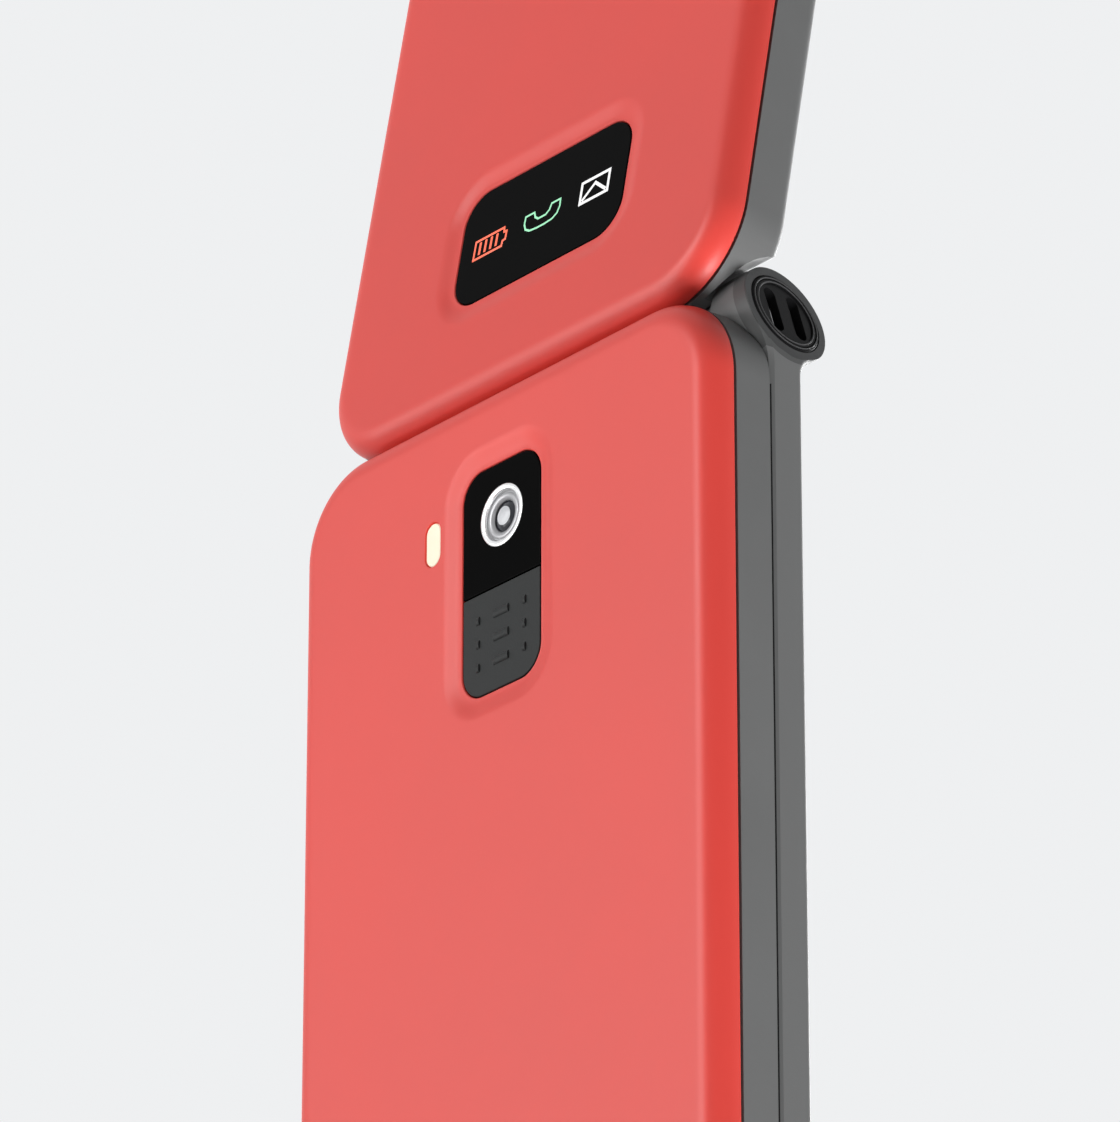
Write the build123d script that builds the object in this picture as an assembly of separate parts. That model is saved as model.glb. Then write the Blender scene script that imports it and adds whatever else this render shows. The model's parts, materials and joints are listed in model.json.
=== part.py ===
from build123d import *
import math
import os

os.makedirs("parts", exist_ok=True)

# A clamshell phone, open, standing on the bottom end of its base. All sizes are in millimetres.
# X runs across the phone, Y from the keypad side (-) to the back (+), Z up the base.
# The origin is the middle of the base's bottom end.

# Base, outside
base_width = 54.0
base_depth = 10.0
hinge_height = 101.44
hinge_inset = 0.73  # how far the hinge axis lies behind the keypad face
cover_rise = 0.56  # how far the base's top edge stands above the hinge axis
corner_radius = 8.1
cover_side_depth = 2.7
rear_band_depth = 3.75
parting_gap = 0.2
parting_chamfer = 0.35
cover_edge_round = 2.4
front_edge_round = 0.6

# Modelling allowances
past = 1.0  # how far a cutter runs past the face that it opens
sunk = 0.1  # how deep one form starts inside another, so that they fuse
seat_gap = 0.02  # between a piece and the seat that it is glued or pressed into
rest_gap = 0.05  # between a piece and the face that it lies against

# Base, walls and clearances
cover_wall = 1.0
front_wall = 1.0
front_plate = 1.0
lip_clearance = 0.15
lip_thickness = 0.6
lip_height = 0.7
fit_clearance = 0.1
rib_width = 0.8
rib_inset = 4.0
tray_thickness = 0.6
board_inset = 2.0
board_thickness = 0.8
board_end_room = 0.5
board_top_drop = 11.0  # from the hinge axis down to the board's top edge
shield_depth = 0.7
shield_width = 34.0
shield_low = 38.0
shield_high = 64.0
rib_depth = 0.25

# Hinge
ear_radius = 4.5
ear_face_x = 25.7  # where the hinge axis meets the ear's outer face
ear_face_normal = (0.951, -0.087, 0.295)
ear_flange_x = 21.5
ear_front_blend = 2.0
ear_back_blend = 5.0
barrel_radius = 4.0
boss_inner_x = 17.2
boss_front_step = 0.2
boss_foot = 2.0
barrel_end_gap = 0.2
scoop_clearance = 0.35
scoop_wall = 1.0
cap_radius = 3.78
cap_depth = 1.0
cap_proud = 0.1
cap_edge = 0.15
cap_groove_radius = 3.33
cap_groove_width = 0.27
cap_groove_depth = 0.3
cap_step_radius = 3.0
cap_step_depth = 0.12
cap_slot_width = 1.3
cap_slot_length = 4.5
cap_slot_offset = 1.33
pocket_radius = 2.6
pocket_depth = 2.1
hinge_end_room = 0.2
pin_radius = 1.9
pin_clearance = 0.05
pin_reach = 5.5
pin_end_gap = 0.5
shaft_radius = 1.4
shaft_reach = 4.0
shaft_square = 3.0
shaft_square_play = 0.1
shaft_end_gap = 0.3
cartridge_radius = 2.6
cartridge_length = 16.8
flex_bore_radius = 3.0

# Camera group on the back
window_width = 10.0
window_height = 20.2
window_drop = 6.8  # from the hinge axis down to the window's top edge
window_split = 11.0  # height of the camera window above the SOS key
window_radius = 2.5
window_thickness = 1.0
dish_depth = 0.4
dish_margin = 2.2
dish_lip = 0.35
camera_drop = 11.6
camera_ring_radius = 2.74
camera_ring_hole = 1.35
camera_ring_proud = 0.05
camera_module_size = 8.0
camera_module_play = 0.3
camera_seat_rim = 0.6
camera_step = 0.3
camera_bevel = 0.2
camera_rim = 0.55
lens_edge = 0.5
lens_crown = 0.25
lens_ball_radius = 2.4
sos_travel = 0.5
sos_key_depth = 1.6
flash_width = 1.9
flash_height = 3.9
flash_offset = 8.6
flash_drop = 11.5
flash_sink = 0.05
flash_guide_wall = 0.5
flash_lens_lift = 0.8
flash_led_width = 1.4
flash_led_height = 2.0
flash_led_depth = 0.6
switch_size = 6.0
switch_button_radius = 1.2
switch_button_depth = 0.5

# Battery
battery_width = 40.0
battery_low = 20.5
battery_top_gap = 3.94  # from the battery up to the camera window's lower edge
battery_play = 0.2
battery_corner = 1.0
bay_wall = 0.8
bay_rim_drop = 0.4
contact_pitch = 4.5
contact_width = 1.4
contact_foot = 2.6
contact_height = 2.6
contact_leaf = 0.3
contact_room = 15.0

# Keypad
key_proud = 0.25
key_travel = 0.35
key_flange = 0.3
key_flange_rim = 0.6
key_play = 0.1
key_gap = 0.15
key_chamfer = 0.3
dome_height = 0.2
dome_radius = 2.0
dome_sheet_thickness = 0.2
number_key_radius = 2.2
number_column_gap = 1.9
number_row_gap = 1.8
number_row_low = 20.9
number_top_drop = 40.94  # from the hinge axis down to the top row's middle
keypad_margin = 3.75
call_key_width = 12.0
call_key_height = 9.0
call_key_drop = 25.84
soft_key_height = 7.0
soft_key_drop = 15.84
side_key_radius = 2.2
side_key_gap = 1.5
nav_key_width = 14.6
nav_key_height = 17.0
nav_key_radius = 5.0
nav_key_drop = 20.84
nav_play = 0.25

# Volume rocker on the left side of the base
volume_length = 13.0
volume_width = 2.0
volume_drop = 24.44
volume_proud = 0.5
volume_flange = 0.3
volume_flange_rim = 0.6
volume_play = 0.25
volume_round = 0.35

# Parts at the bottom of the base
usb_width = 7.6
usb_length = 5.6
usb_depth = 2.9
usb_socket_width = 6.9
usb_socket_height = 1.85
usb_socket_length = 5.0
usb_setback = 0.2
usb_tongue_width = 4.6
usb_tongue_depth = 0.5
usb_tongue_setback = 1.0
speaker_width = 15.4
speaker_height = 12.0
speaker_depth = 4.8
speaker_x = 13.6
speaker_z = 10.5
speaker_slots = 4
speaker_slot_pitch = 2.0
speaker_slot_length = 8.0
speaker_slot_width = 0.9
speaker_corner = 2.0
motor_radius = 2.0
motor_length = 8.0
motor_x = -18.0
motor_z = 8.0
motor_shaft_radius = 0.4
weight_length = 3.2
weight_radius = 1.9
weight_gap = 0.4
weight_rise = 0.5  # how far the half-round weight reaches past the shaft's middle
weight_bore_gap = 0.03
microphone_x = -7.5
microphone_z = 5.0
microphone_radius = 1.6
microphone_depth = 1.1
sound_hole_radius = 0.5
antenna_width = 15.0
antenna_height = 12.0
antenna_thickness = 0.8
antenna_gap = 0.2
antenna_shift = 3.0
antenna_lift = 2.0
antenna_radius = 2.0
sim_width = 15.0
sim_height = 12.5
sim_depth = 1.3
sim_wall = 0.2
sim_window_radius = 3.1
sim_drop = 18.44

# Screws
screw_inset = 3.3
screw_low_z = 12.0
screw_high_drop = 32.84
screw_shank = 0.6
screw_head = 1.1
screw_head_depth = 0.7
screw_clearance = 0.15
post_radius = 1.3
post_room = 0.2
screw_bite = 0.02  # the thread's hole is this much wider than the shank
screw_tip_gap = 0.4
screw_hole_end = 0.2
screw_tab_reach = 1.7
screw_tab_half = 1.9

# Lid
lid_width = 52.2
lid_length = 100.8
lid_depth = 7.1
lid_lean = 10.05  # degrees short of a straight line
closed_gap = 0.45
lid_corner_radius = 8.0
lid_cover_depth = 2.5
lid_cover_round = 2.2
lid_front_round = 1.2
lid_wall = 1.0
lid_plate = 1.4
lid_chin = 7.0
notch_clearance = 0.6
boss_clearance = 0.25
indicator_width = 22.0
indicator_height = 11.4
indicator_low = 10.38
indicator_offset = -0.5
indicator_radius = 3.0
indicator_thickness = 1.2
indicator_rim = 0.7
lamp_pitch = 6.95
lamp_width = 3.0
lamp_depth = 0.8
lamp_height = 1.6
display_window_inset = 4.1
display_window_low = 14.0
display_window_drop = 9.8  # this and the other drops in the lid count from its far end
display_window_radius = 2.5
display_window_thickness = 0.9
screen_border = 2.0
screen_low = 25.0
screen_drop = 19.8
screen_radius = 0.5
display_inset = 3.1
display_low = 22.0
display_drop = 14.8
display_thickness = 2.1
lid_board_inset = 5.1
lid_board_low = 9.0
lid_board_drop = 10.8
lid_board_thickness = 0.7
earpiece_drop = 5.4
earpiece_width = 12.0
earpiece_height = 5.0
earpiece_depth = 2.2
earpiece_slot_length = 8.0
earpiece_slot_width = 1.0
earpiece_radius = 1.0
magnet_x = 13.0
magnet_radius = 1.6
magnet_depth = 1.5
bumper_radius = 1.2
bumper_depth = 0.5
bumper_proud = 0.4
bumper_inset = 3.7
bumper_low = 10.0
bumper_drop = 6.2
bumper_wall = 0.6
bumper_boss = 1.2
lid_post_gap = 0.2
lid_screw_end = 0.6
lid_screw_tip_gap = 1.0
flex_thickness = 0.2
flex_clearance = 0.15
flex_width = 6.0
flex_x = 5.0
flex_tail = 3.0
flex_open_low = 0.2
flex_open_high = 1.5
flex_slot_margin = 0.3

# Worked out from the driving dimensions
back_y = base_depth / 2
front_y = -base_depth / 2
base_top = hinge_height + cover_rise
ear_foot_z = hinge_height - math.sqrt(
    (ear_radius + ear_front_blend) ** 2 - (hinge_inset + ear_front_blend) ** 2
)
hinge_y = front_y + hinge_inset
cover_parting_y = back_y - cover_side_depth
front_parting_y = cover_parting_y - rear_band_depth
cover_edge_y = cover_parting_y + parting_gap / 2
rear_back_y = cover_parting_y - parting_gap / 2
rear_front_y = front_parting_y + parting_gap / 2
front_edge_y = front_parting_y - parting_gap / 2
cover_inner_y = back_y - cover_wall
lip_inset = cover_wall + lip_clearance
band_wall = lip_inset + lip_thickness
plate_back_y = front_y + front_plate
key_front_y = front_y - key_proud
key_flange_y = plate_back_y + key_play
key_back_y = key_flange_y + key_flange
dome_top_y = key_back_y + key_travel + key_play / 2
sheet_front_y = dome_top_y + dome_height
board_front_y = sheet_front_y + dome_sheet_thickness
board_back_y = board_front_y + board_thickness
tray_front_y = board_back_y + shield_depth + fit_clearance
tray_back_y = tray_front_y + tray_thickness
battery_front_y = tray_back_y + fit_clearance / 2
battery_back_y = cover_inner_y - rib_depth - fit_clearance
window_face_y = back_y - dish_depth
window_back_y = window_face_y - window_thickness
window_top = hinge_height - window_drop
window_bottom = window_top - window_height
window_z = (window_top + window_bottom) / 2
split_z = window_top - window_split
camera_z = hinge_height - camera_drop
sos_back_y = window_face_y - sos_key_depth
switch_top_y = sos_back_y - sos_travel - fit_clearance / 2
flash_z = hinge_height - flash_drop
board_top = hinge_height - board_top_drop
scoop_radius = barrel_radius + scoop_clearance
barrel_half = boss_inner_x - barrel_end_gap
lid_inner = hinge_inset + closed_gap
lid_outer = lid_inner + lid_depth
lid_parting = lid_outer - lid_cover_depth
lid_cover_edge = lid_parting + parting_gap / 2
lid_frame_edge = lid_parting - parting_gap / 2
lid_cover_inner = lid_outer - lid_wall
ear_notch_x = ear_flange_x - barrel_end_gap
indicator_face = lid_outer - dish_depth
indicator_z = indicator_low + indicator_height / 2
display_front = lid_inner + lid_plate + seat_gap
display_window_width = lid_width - 2 * display_window_inset
display_window_high = lid_length - display_window_drop
screen_width = display_window_width - 2 * screen_border
screen_high = lid_length - screen_drop
display_width = lid_width - 2 * display_inset
display_high = lid_length - display_drop
lid_board_width = lid_width - 2 * lid_board_inset
lid_board_high = lid_length - lid_board_drop
earpiece_z = lid_length - earpiece_drop
bumper_x = lid_width / 2 - bumper_inset
bumper_high = lid_length - bumper_drop
display_window_z = (display_window_low + display_window_high) / 2
display_window_height = display_window_high - display_window_low
screen_z = (screen_low + screen_high) / 2
screen_height = screen_high - screen_low
flex_outer_radius = flex_bore_radius - flex_clearance
flex_tail_y = flex_outer_radius - flex_thickness
battery_height = window_bottom - battery_top_gap - battery_low
bay_inner_width = battery_width + 2 * battery_play
bay_inner_height = battery_height + 2 * battery_play
battery_z = battery_low + battery_height / 2
number_column_pitch = (base_width - 2 * keypad_margin) / 3
number_key_width = number_column_pitch - number_column_gap
number_row_pitch = (hinge_height - number_top_drop - number_row_low) / 3
number_key_height = number_row_pitch - number_row_gap
call_key_x = nav_key_width / 2 + side_key_gap + call_key_width / 2
call_key_z = hinge_height - call_key_drop
soft_key_z = hinge_height - soft_key_drop
nav_key_z = hinge_height - nav_key_drop
volume_z = hinge_height - volume_drop
sim_x = -(base_width / 2 - band_wall + window_width / 2 + fit_clearance + bay_wall) / 2
sim_z = hinge_height - sim_drop
screw_x = base_width / 2 - screw_inset
screw_high_z = hinge_height - screw_high_drop
screw_places = [(side * screw_x, z) for side in (-1, 1) for z in (screw_low_z, screw_high_z)]
bumper_places = [(side * bumper_x, z) for side in (-1, 1) for z in (bumper_low, bumper_high)]


def save(name, shape):
    export_step(shape, f"parts/{name}.step")


# A flat shape drawn in X and Z, given a thickness from one Y to another
def slab(sketch, low, high):
    return extrude(Plane.XZ.offset(-high) * sketch, amount=high - low)


def block(x0, x1, y0, y1, z0, z1):
    return Pos((x0 + x1) / 2, (y0 + y1) / 2, (z0 + z1) / 2) * Box(x1 - x0, y1 - y0, z1 - z0)


def rounded(x, z, width, height, radius):
    return Pos(x, z) * RectangleRounded(width, height, min(radius, 0.49 * width, 0.49 * height))


def back_edges(shape):
    return shape.faces().sort_by(Axis.Y)[-1].edges()


def front_edges(shape):
    return shape.faces().sort_by(Axis.Y)[0].edges()


def disc(x, z, radius, low, high):
    return slab(Pos(x, z) * Circle(radius), low, high)


# A round bar along X
def bar(x0, x1, y, z, radius):
    return Pos(x0, y, z) * extrude(Plane.YZ * Circle(radius), amount=x1 - x0)


def mirrored(shape):
    return mirror(shape, about=Plane.YZ)


# Outline of the base, seen from the back, drawn in by an inset
def base_outline(inset):
    return rounded(0, base_top / 2, base_width - 2 * inset, base_top - 2 * inset, corner_radius - inset)


# Outline of the lid in the lid's own frame, drawn in by an inset
def lid_outline(inset):
    return rounded(
        0, lid_length / 2, lid_width - 2 * inset, lid_length - 2 * inset, lid_corner_radius - inset
    )


# A shallow dish with sloping sides round a window, as a cutter that starts just outside the face
def dish(x, z, width, height, radius, face):
    slope = (dish_margin - dish_lip) / dish_depth
    above = 0.1
    outer = dish_margin + slope * above
    top = rounded(x, z, width + 2 * outer, height + 2 * outer, radius + outer)
    floor = rounded(x, z, width + 2 * dish_lip, height + 2 * dish_lip, radius + dish_lip)
    sections = [Plane.XZ.offset(-face - above) * top, Plane.XZ.offset(-face + dish_depth) * floor]
    return loft(sections)


# The hinge cap's own frame: origin on the ear's face, X forward to back, Y up the face, Z outwards
def ear_plane():
    normal = Vector(*ear_face_normal).normalized()
    up = (Vector(0, 0, 1) - normal * normal.Z).normalized()
    return Plane(origin=(ear_face_x, hinge_y, hinge_height), x_dir=up.cross(normal), z_dir=normal)


def battery_cover():
    shell = slab(base_outline(0), cover_edge_y, back_y)
    shell = fillet(back_edges(shell), cover_edge_round)
    hollow = slab(base_outline(cover_wall), cover_edge_y - past, cover_inner_y)
    hollow = fillet(back_edges(hollow), cover_edge_round - cover_wall)
    shell -= hollow
    shell -= dish(0, window_z, window_width, window_height, window_radius, back_y)
    opening = rounded(
        0, window_z, window_width + 2 * fit_clearance, window_height + 2 * fit_clearance, window_radius
    )
    shell -= slab(opening, cover_parting_y, back_y + past)
    flash = Pos(flash_offset, flash_z) * SlotOverall(
        flash_height + 2 * fit_clearance, flash_width + 2 * fit_clearance, rotation=90
    )
    shell -= slab(flash, cover_parting_y, back_y + past)
    for row in range(speaker_slots):
        z = speaker_z + (row - (speaker_slots - 1) / 2) * speaker_slot_pitch
        slot = Pos(speaker_x, z) * SlotOverall(speaker_slot_length, speaker_slot_width)
        shell -= slab(slot, cover_inner_y - past, back_y + past)
    for side in (-1, 0, 1):
        x = side * battery_width / 3
        shell += block(
            x - rib_width / 2, x + rib_width / 2, cover_inner_y - rib_depth, cover_inner_y + sunk,
            battery_low + rib_inset, battery_low + battery_height - rib_inset,
        )
    return shell


def rear_housing():
    shell = slab(base_outline(0), rear_front_y, rear_back_y)
    shell -= slab(base_outline(band_wall), rear_front_y - past, rear_back_y + past)
    back_lip = slab(base_outline(lip_inset), rear_back_y - past, rear_back_y + lip_height)
    back_lip -= slab(base_outline(band_wall), rear_back_y - 2 * past, rear_back_y + 2 * past)
    front_lip = slab(base_outline(lip_inset), rear_front_y - lip_height, rear_front_y + past)
    front_lip -= slab(base_outline(band_wall), rear_front_y - 2 * past, rear_front_y + 2 * past)
    side_zone = block(
        -base_width, base_width, front_y, back_y, corner_radius + 2, hinge_height - 2 * corner_radius
    )
    shell += back_lip
    shell += front_lip & side_zone
    tray_low = battery_low - battery_play - bay_wall
    tray = slab(base_outline(band_wall - 0.25), tray_front_y, tray_back_y)
    tray -= block(-base_width, base_width, front_y, back_y, -past, tray_low)
    shell += tray
    for x, z in screw_places:
        side = math.copysign(1, x)
        ends = sorted([x - side * screw_tab_reach, side * (base_width / 2 - lip_inset)])
        shell += block(ends[0], ends[1], tray_front_y, tray_back_y, z - screw_tab_half, z + screw_tab_half)
    rim = slab(
        rounded(
            0, battery_z, bay_inner_width + 2 * bay_wall, bay_inner_height + 2 * bay_wall, battery_corner
        ),
        tray_back_y - sunk, battery_back_y - bay_rim_drop,
    )
    rim -= slab(
        rounded(0, battery_z, bay_inner_width, bay_inner_height, battery_corner / 2),
        tray_back_y - past, battery_back_y,
    )
    shell += rim
    wrap = bar(-base_width / 2, base_width / 2, hinge_y, hinge_height, scoop_radius + scoop_wall)
    shell += wrap & slab(base_outline(0), rear_front_y, rear_back_y)
    shell += camera_bracket()
    shell += flash_guide()
    shell -= bar(-base_width, base_width, hinge_y, hinge_height, scoop_radius)
    ear_side = Plane.YZ.offset(ear_flange_x - parting_gap)
    ear_room = extrude(ear_side * offset(ear_profile(), parting_gap), amount=base_width)
    shell -= ear_room
    shell -= mirrored(ear_room)
    contact_z = battery_low + battery_height + battery_play
    shell -= block(
        -contact_room / 2, contact_room / 2, tray_back_y, back_y, contact_z - bay_wall / 2,
        contact_z + 1.5 * bay_wall
    )
    for x, z in screw_places:
        shell -= disc(x, z, screw_shank + screw_clearance, tray_front_y - past, tray_back_y + past)
    hole = camera_module_size / 2 + camera_module_play
    shell -= block(-hole, hole, tray_front_y - past, tray_back_y + rest_gap, camera_z - hole, camera_z + hole)
    half = volume_length / 2 + fit_clearance
    shell -= block(
        base_width / 2 - band_wall - past, base_width, volume_y - volume_width / 2 - fit_clearance,
        volume_y + volume_width / 2 + fit_clearance, volume_z - half, volume_z + half,
    )
    shell -= block(
        -usb_width / 2 - fit_clearance, usb_width / 2 + fit_clearance, rear_front_y - past,
        usb_back_y + fit_clearance, -past, band_wall + past,
    )
    return shell


# Walls that guide the SOS key, with the shelf that the camera window is seated on
def camera_bracket():
    width = window_width + 2 * (fit_clearance + bay_wall)
    height = window_height + 2 * (fit_clearance + bay_wall)
    outer = rounded(0, window_z, width, height, window_radius + bay_wall)
    inner = rounded(0, window_z, width - 2 * bay_wall, height - 2 * bay_wall, window_radius)
    walls = slab(outer, tray_back_y - sunk, cover_inner_y - fit_clearance)
    walls -= slab(inner, tray_back_y - past, back_y)
    shelf = slab(inner, window_back_y - bay_wall, window_back_y)
    shelf &= block(
        -window_width, window_width, front_y, back_y, split_z + camera_module_play, window_top + past
    )
    seat = camera_ring_radius + camera_seat_rim + camera_module_play
    shelf -= disc(0, camera_z, seat, front_y, back_y)
    return walls + shelf


def flash_guide():
    wall = 2 * (flash_guide_wall + fit_clearance)
    outer = Pos(flash_offset, flash_z) * SlotOverall(flash_height + wall, flash_width + wall, rotation=90)
    inner = Pos(flash_offset, flash_z) * SlotOverall(
        flash_height + 2 * fit_clearance, flash_width + 2 * fit_clearance, rotation=90
    )
    return slab(outer, tray_back_y - sunk, cover_inner_y - fit_clearance) - slab(inner, tray_back_y, back_y)


# Side view of an ear: a round end blended into the side rail of the front housing
def ear_profile():
    below = 3 * ear_radius
    neck = Pos((front_y + front_edge_y) / 2, hinge_height - below / 2) * Rectangle(
        front_edge_y - front_y, below
    )
    end = Pos(hinge_y, hinge_height) * Circle(ear_radius)
    shape = neck + end
    for order, blend in ((0, ear_front_blend), (-1, ear_back_blend)):
        corners = [v for v in shape.vertices() if -1.2 * ear_radius < v.Y - hinge_height < -0.4 * ear_radius]
        corners = sorted(corners, key=lambda v: v.X)
        shape = fillet(corners[order], blend)
    return shape


# Front or back half of an ear, its outer edge dressed as the rail's edge below it
def ear_side(front):
    reach = 4 * ear_radius
    shift = -reach / 2 if front else reach / 2
    half = ear_profile() & Pos(hinge_y + shift, hinge_height) * Rectangle(reach, 2 * reach)
    body = extrude(Plane.YZ.offset(ear_flange_x) * half, amount=base_width / 2 - ear_flange_x)
    rim = [e for e in body.faces().sort_by(Axis.X)[-1].edges() if not on_cut(e)]
    return fillet(rim, front_edge_round) if front else chamfer(rim, parting_chamfer)


# Whether an edge of an ear's half lies where the half is cut from the rest
def on_cut(edge):
    middle = edge.center()
    return abs(middle.Y - hinge_y) < sunk or middle.Z < hinge_height - 3 * ear_radius + sunk


# One ear on the +X side: round end, boss, cap recess, pocket behind the cap
def ear():
    face = ear_plane()
    body = split(ear_side(front=True) + ear_side(front=False), bisect_by=face, keep=Keep.BOTTOM)
    room = block(0, base_width, front_y - 2 * ear_radius, back_y, ear_foot_z, hinge_height + 2 * ear_radius)
    body &= room
    boss = bar(boss_inner_x, ear_flange_x + sunk, hinge_y, hinge_height, barrel_radius)
    boss += block(
        boss_inner_x, ear_flange_x + sunk, front_y + boss_front_step, front_edge_y, ear_foot_z - boss_foot,
        hinge_height
    )
    body += boss
    recess = face * Pos(0, 0, cap_proud - cap_depth) * Cylinder(
        cap_radius + pin_clearance, 2 * ear_radius, align=(Align.CENTER, Align.CENTER, Align.MIN)
    )
    pocket = face * Pos(0, 0, -pocket_depth) * Cylinder(
        pocket_radius, 2 * ear_radius, align=(Align.CENTER, Align.CENTER, Align.MIN)
    )
    return body - recess - pocket


def front_housing():
    envelope = rounded(0, hinge_height, base_width, 2 * hinge_height, corner_radius)
    solid = slab(envelope, front_y, front_edge_y)
    solid = fillet(front_edges(solid), front_edge_round)
    solid = chamfer(back_edges(solid), parting_chamfer)
    solid &= block(-base_width, base_width, front_y - past, back_y, -past, ear_foot_z)
    scoop = bar(-boss_inner_x, boss_inner_x, hinge_y, hinge_height, scoop_radius)
    bridge = bar(-ear_flange_x, ear_flange_x, hinge_y, hinge_height, scoop_radius + scoop_wall)
    bridge &= block(-base_width, base_width, front_y, front_edge_y, 0, hinge_height)
    hollow = slab(base_outline(front_wall), plate_back_y, back_y)
    hollow &= block(-base_width, base_width, front_y, back_y, 0, board_top + board_end_room)
    solid -= hollow
    solid += bridge
    right = ear()
    solid += right
    solid += mirrored(right)
    solid -= scoop
    solid -= bar(
        boss_inner_x - past, ear_face_x - pocket_depth + hinge_end_room, hinge_y, hinge_height,
        pin_radius + seat_gap
    )
    square = shaft_square + shaft_square_play
    solid -= block(
        -ear_face_x + pocket_depth - hinge_end_room, -boss_inner_x + past, hinge_y - square / 2,
        hinge_y + square / 2, hinge_height - square / 2, hinge_height + square / 2,
    )
    solid -= block(
        flex_x - flex_width / 2 - flex_slot_margin, flex_x + flex_width / 2 + flex_slot_margin,
        sheet_front_y, board_back_y, board_top - past, hinge_height,
    )
    for x, z, width, height, radius in key_places.values():
        solid -= slab(
            rounded(x, z, width + 2 * key_gap, height + 2 * key_gap, radius + key_gap), front_y - past,
            plate_back_y + past,
        )
    for x, z in screw_places:
        solid += disc(x, z, post_radius, plate_back_y - sunk, front_edge_y)
        solid -= disc(x, z, screw_shank + screw_bite, plate_back_y + screw_hole_end, front_edge_y + past)
    solid -= disc(microphone_x, microphone_z, sound_hole_radius, front_y - past, plate_back_y + past)
    solid -= block(
        -usb_width / 2 - fit_clearance, usb_width / 2 + fit_clearance, board_back_y - fit_clearance,
        back_y, -past, front_wall + past,
    )
    return solid


# Slotted round cap, built on the ear's face
def hinge_cap():
    groove = cap_groove_radius + cap_groove_width
    profile = Polyline(
        (0, -cap_depth),
        (cap_radius, -cap_depth),
        (cap_radius, -cap_edge),
        (cap_radius - cap_edge, 0),
        (groove, 0),
        (groove, -cap_groove_depth),
        (cap_groove_radius, -cap_groove_depth),
        (cap_groove_radius, 0),
        (cap_step_radius, 0),
        (cap_step_radius, -cap_step_depth),
        (0, -cap_step_depth),
        (0, -cap_depth),
    )
    body = revolve(make_face(Plane.XZ * profile), Axis.Z)
    for side in (-1, 1):
        slot = Pos(side * cap_slot_offset, 0) * SlotOverall(cap_slot_length, cap_slot_width, rotation=90)
        body -= extrude(slot, amount=2 * cap_depth, both=True)
    return ear_plane() * Pos(0, 0, cap_proud) * body


# Every key: centre, size and corner radius, seen from the back
def key_layout():
    names = ["1", "2", "3", "4", "5", "6", "7", "8", "9", "star", "0", "hash"]
    places = {}
    for index, name in enumerate(names):
        row, column = divmod(index, 3)
        x = (1 - column) * -number_column_pitch
        z = number_row_low + (3 - row) * number_row_pitch
        places["key_" + name] = (x, z, number_key_width, number_key_height, number_key_radius)
    places["call_key"] = (-call_key_x, call_key_z, call_key_width, call_key_height, side_key_radius)
    places["end_key"] = (call_key_x, call_key_z, call_key_width, call_key_height, side_key_radius)
    places["soft_key_left"] = (-call_key_x, soft_key_z, call_key_width, soft_key_height, side_key_radius)
    places["soft_key_right"] = (call_key_x, soft_key_z, call_key_width, soft_key_height, side_key_radius)
    places["nav_key"] = (0, nav_key_z, nav_key_width, nav_key_height, nav_key_radius)
    return places


def key(place, play):
    x, z, width, height, radius = place
    cap = slab(rounded(x, z, width, height, radius), key_front_y, key_back_y)
    cap = chamfer(front_edges(cap), key_chamfer)
    rim = slab(
        rounded(x, z, width + 2 * key_flange_rim, height + 2 * key_flange_rim, radius + key_flange_rim),
        plate_back_y + play, key_back_y,
    )
    return cap + rim


def dome_sheet():
    sheet = slab(base_outline(board_inset), sheet_front_y, board_front_y)
    sheet &= block(-base_width, base_width, front_y, back_y, 0, board_top)
    for name, (x, z, width, height, radius) in key_places.items():
        spots = [z] if name != "nav_key" else [z - height / 3, z + height / 3]
        for spot in spots:
            sheet += disc(x, spot, dome_radius, dome_top_y, sheet_front_y + rest_gap)
    for x, z in screw_places:
        sheet -= disc(x, z, post_radius + post_room, front_y, back_y)
    return sheet - disc(microphone_x, microphone_z, sound_hole_radius, front_y, back_y)


def main_board():
    board = slab(base_outline(board_inset), board_front_y, board_back_y)
    board &= block(-base_width, base_width, front_y, back_y, 0, board_top)
    for x, z in screw_places:
        board -= disc(x, z, post_radius + post_room, front_y, back_y)
    return board - disc(microphone_x, microphone_z, sound_hole_radius, front_y, back_y)


def camera_ring():
    rise = window_face_y + camera_ring_proud
    inner_rim = camera_ring_radius - camera_rim
    funnel = (camera_ring_radius - camera_ring_hole) / 3
    profile = Polyline(
        (camera_ring_hole, window_back_y),
        (camera_ring_radius, window_back_y),
        (camera_ring_radius, rise),
        (inner_rim, rise),
        (inner_rim - camera_bevel, rise - camera_step),
        (camera_ring_hole + funnel, rise - camera_step),
        (camera_ring_hole, rise - 2 * camera_step),
        (camera_ring_hole, window_back_y),
    )
    face = make_face(Plane.XY * profile)
    return Pos(0, 0, camera_z) * revolve(face, Axis.Y)


def camera_lens():
    radius = camera_ring_hole - seat_gap
    crown_y = window_back_y + lens_edge + lens_crown
    crown = Pos(0, crown_y - lens_ball_radius, camera_z) * Sphere(lens_ball_radius)
    crown &= disc(0, camera_z, radius, window_back_y + sunk, back_y)
    return disc(0, camera_z, radius, window_back_y, window_back_y + lens_edge) + crown


def usb_port():
    shell = block(
        -usb_width / 2, usb_width / 2, board_back_y, usb_back_y, usb_setback, usb_setback + usb_length
    )
    mid = (board_back_y + usb_back_y) / 2
    shell -= block(
        -usb_socket_width / 2, usb_socket_width / 2, mid - usb_socket_height / 2, mid + usb_socket_height / 2,
        0, usb_socket_length,
    )
    tongue = block(
        -usb_tongue_width / 2, usb_tongue_width / 2, mid - usb_tongue_depth / 2, mid + usb_tongue_depth / 2,
        usb_tongue_setback, usb_length,
    )
    return shell + tongue


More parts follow.
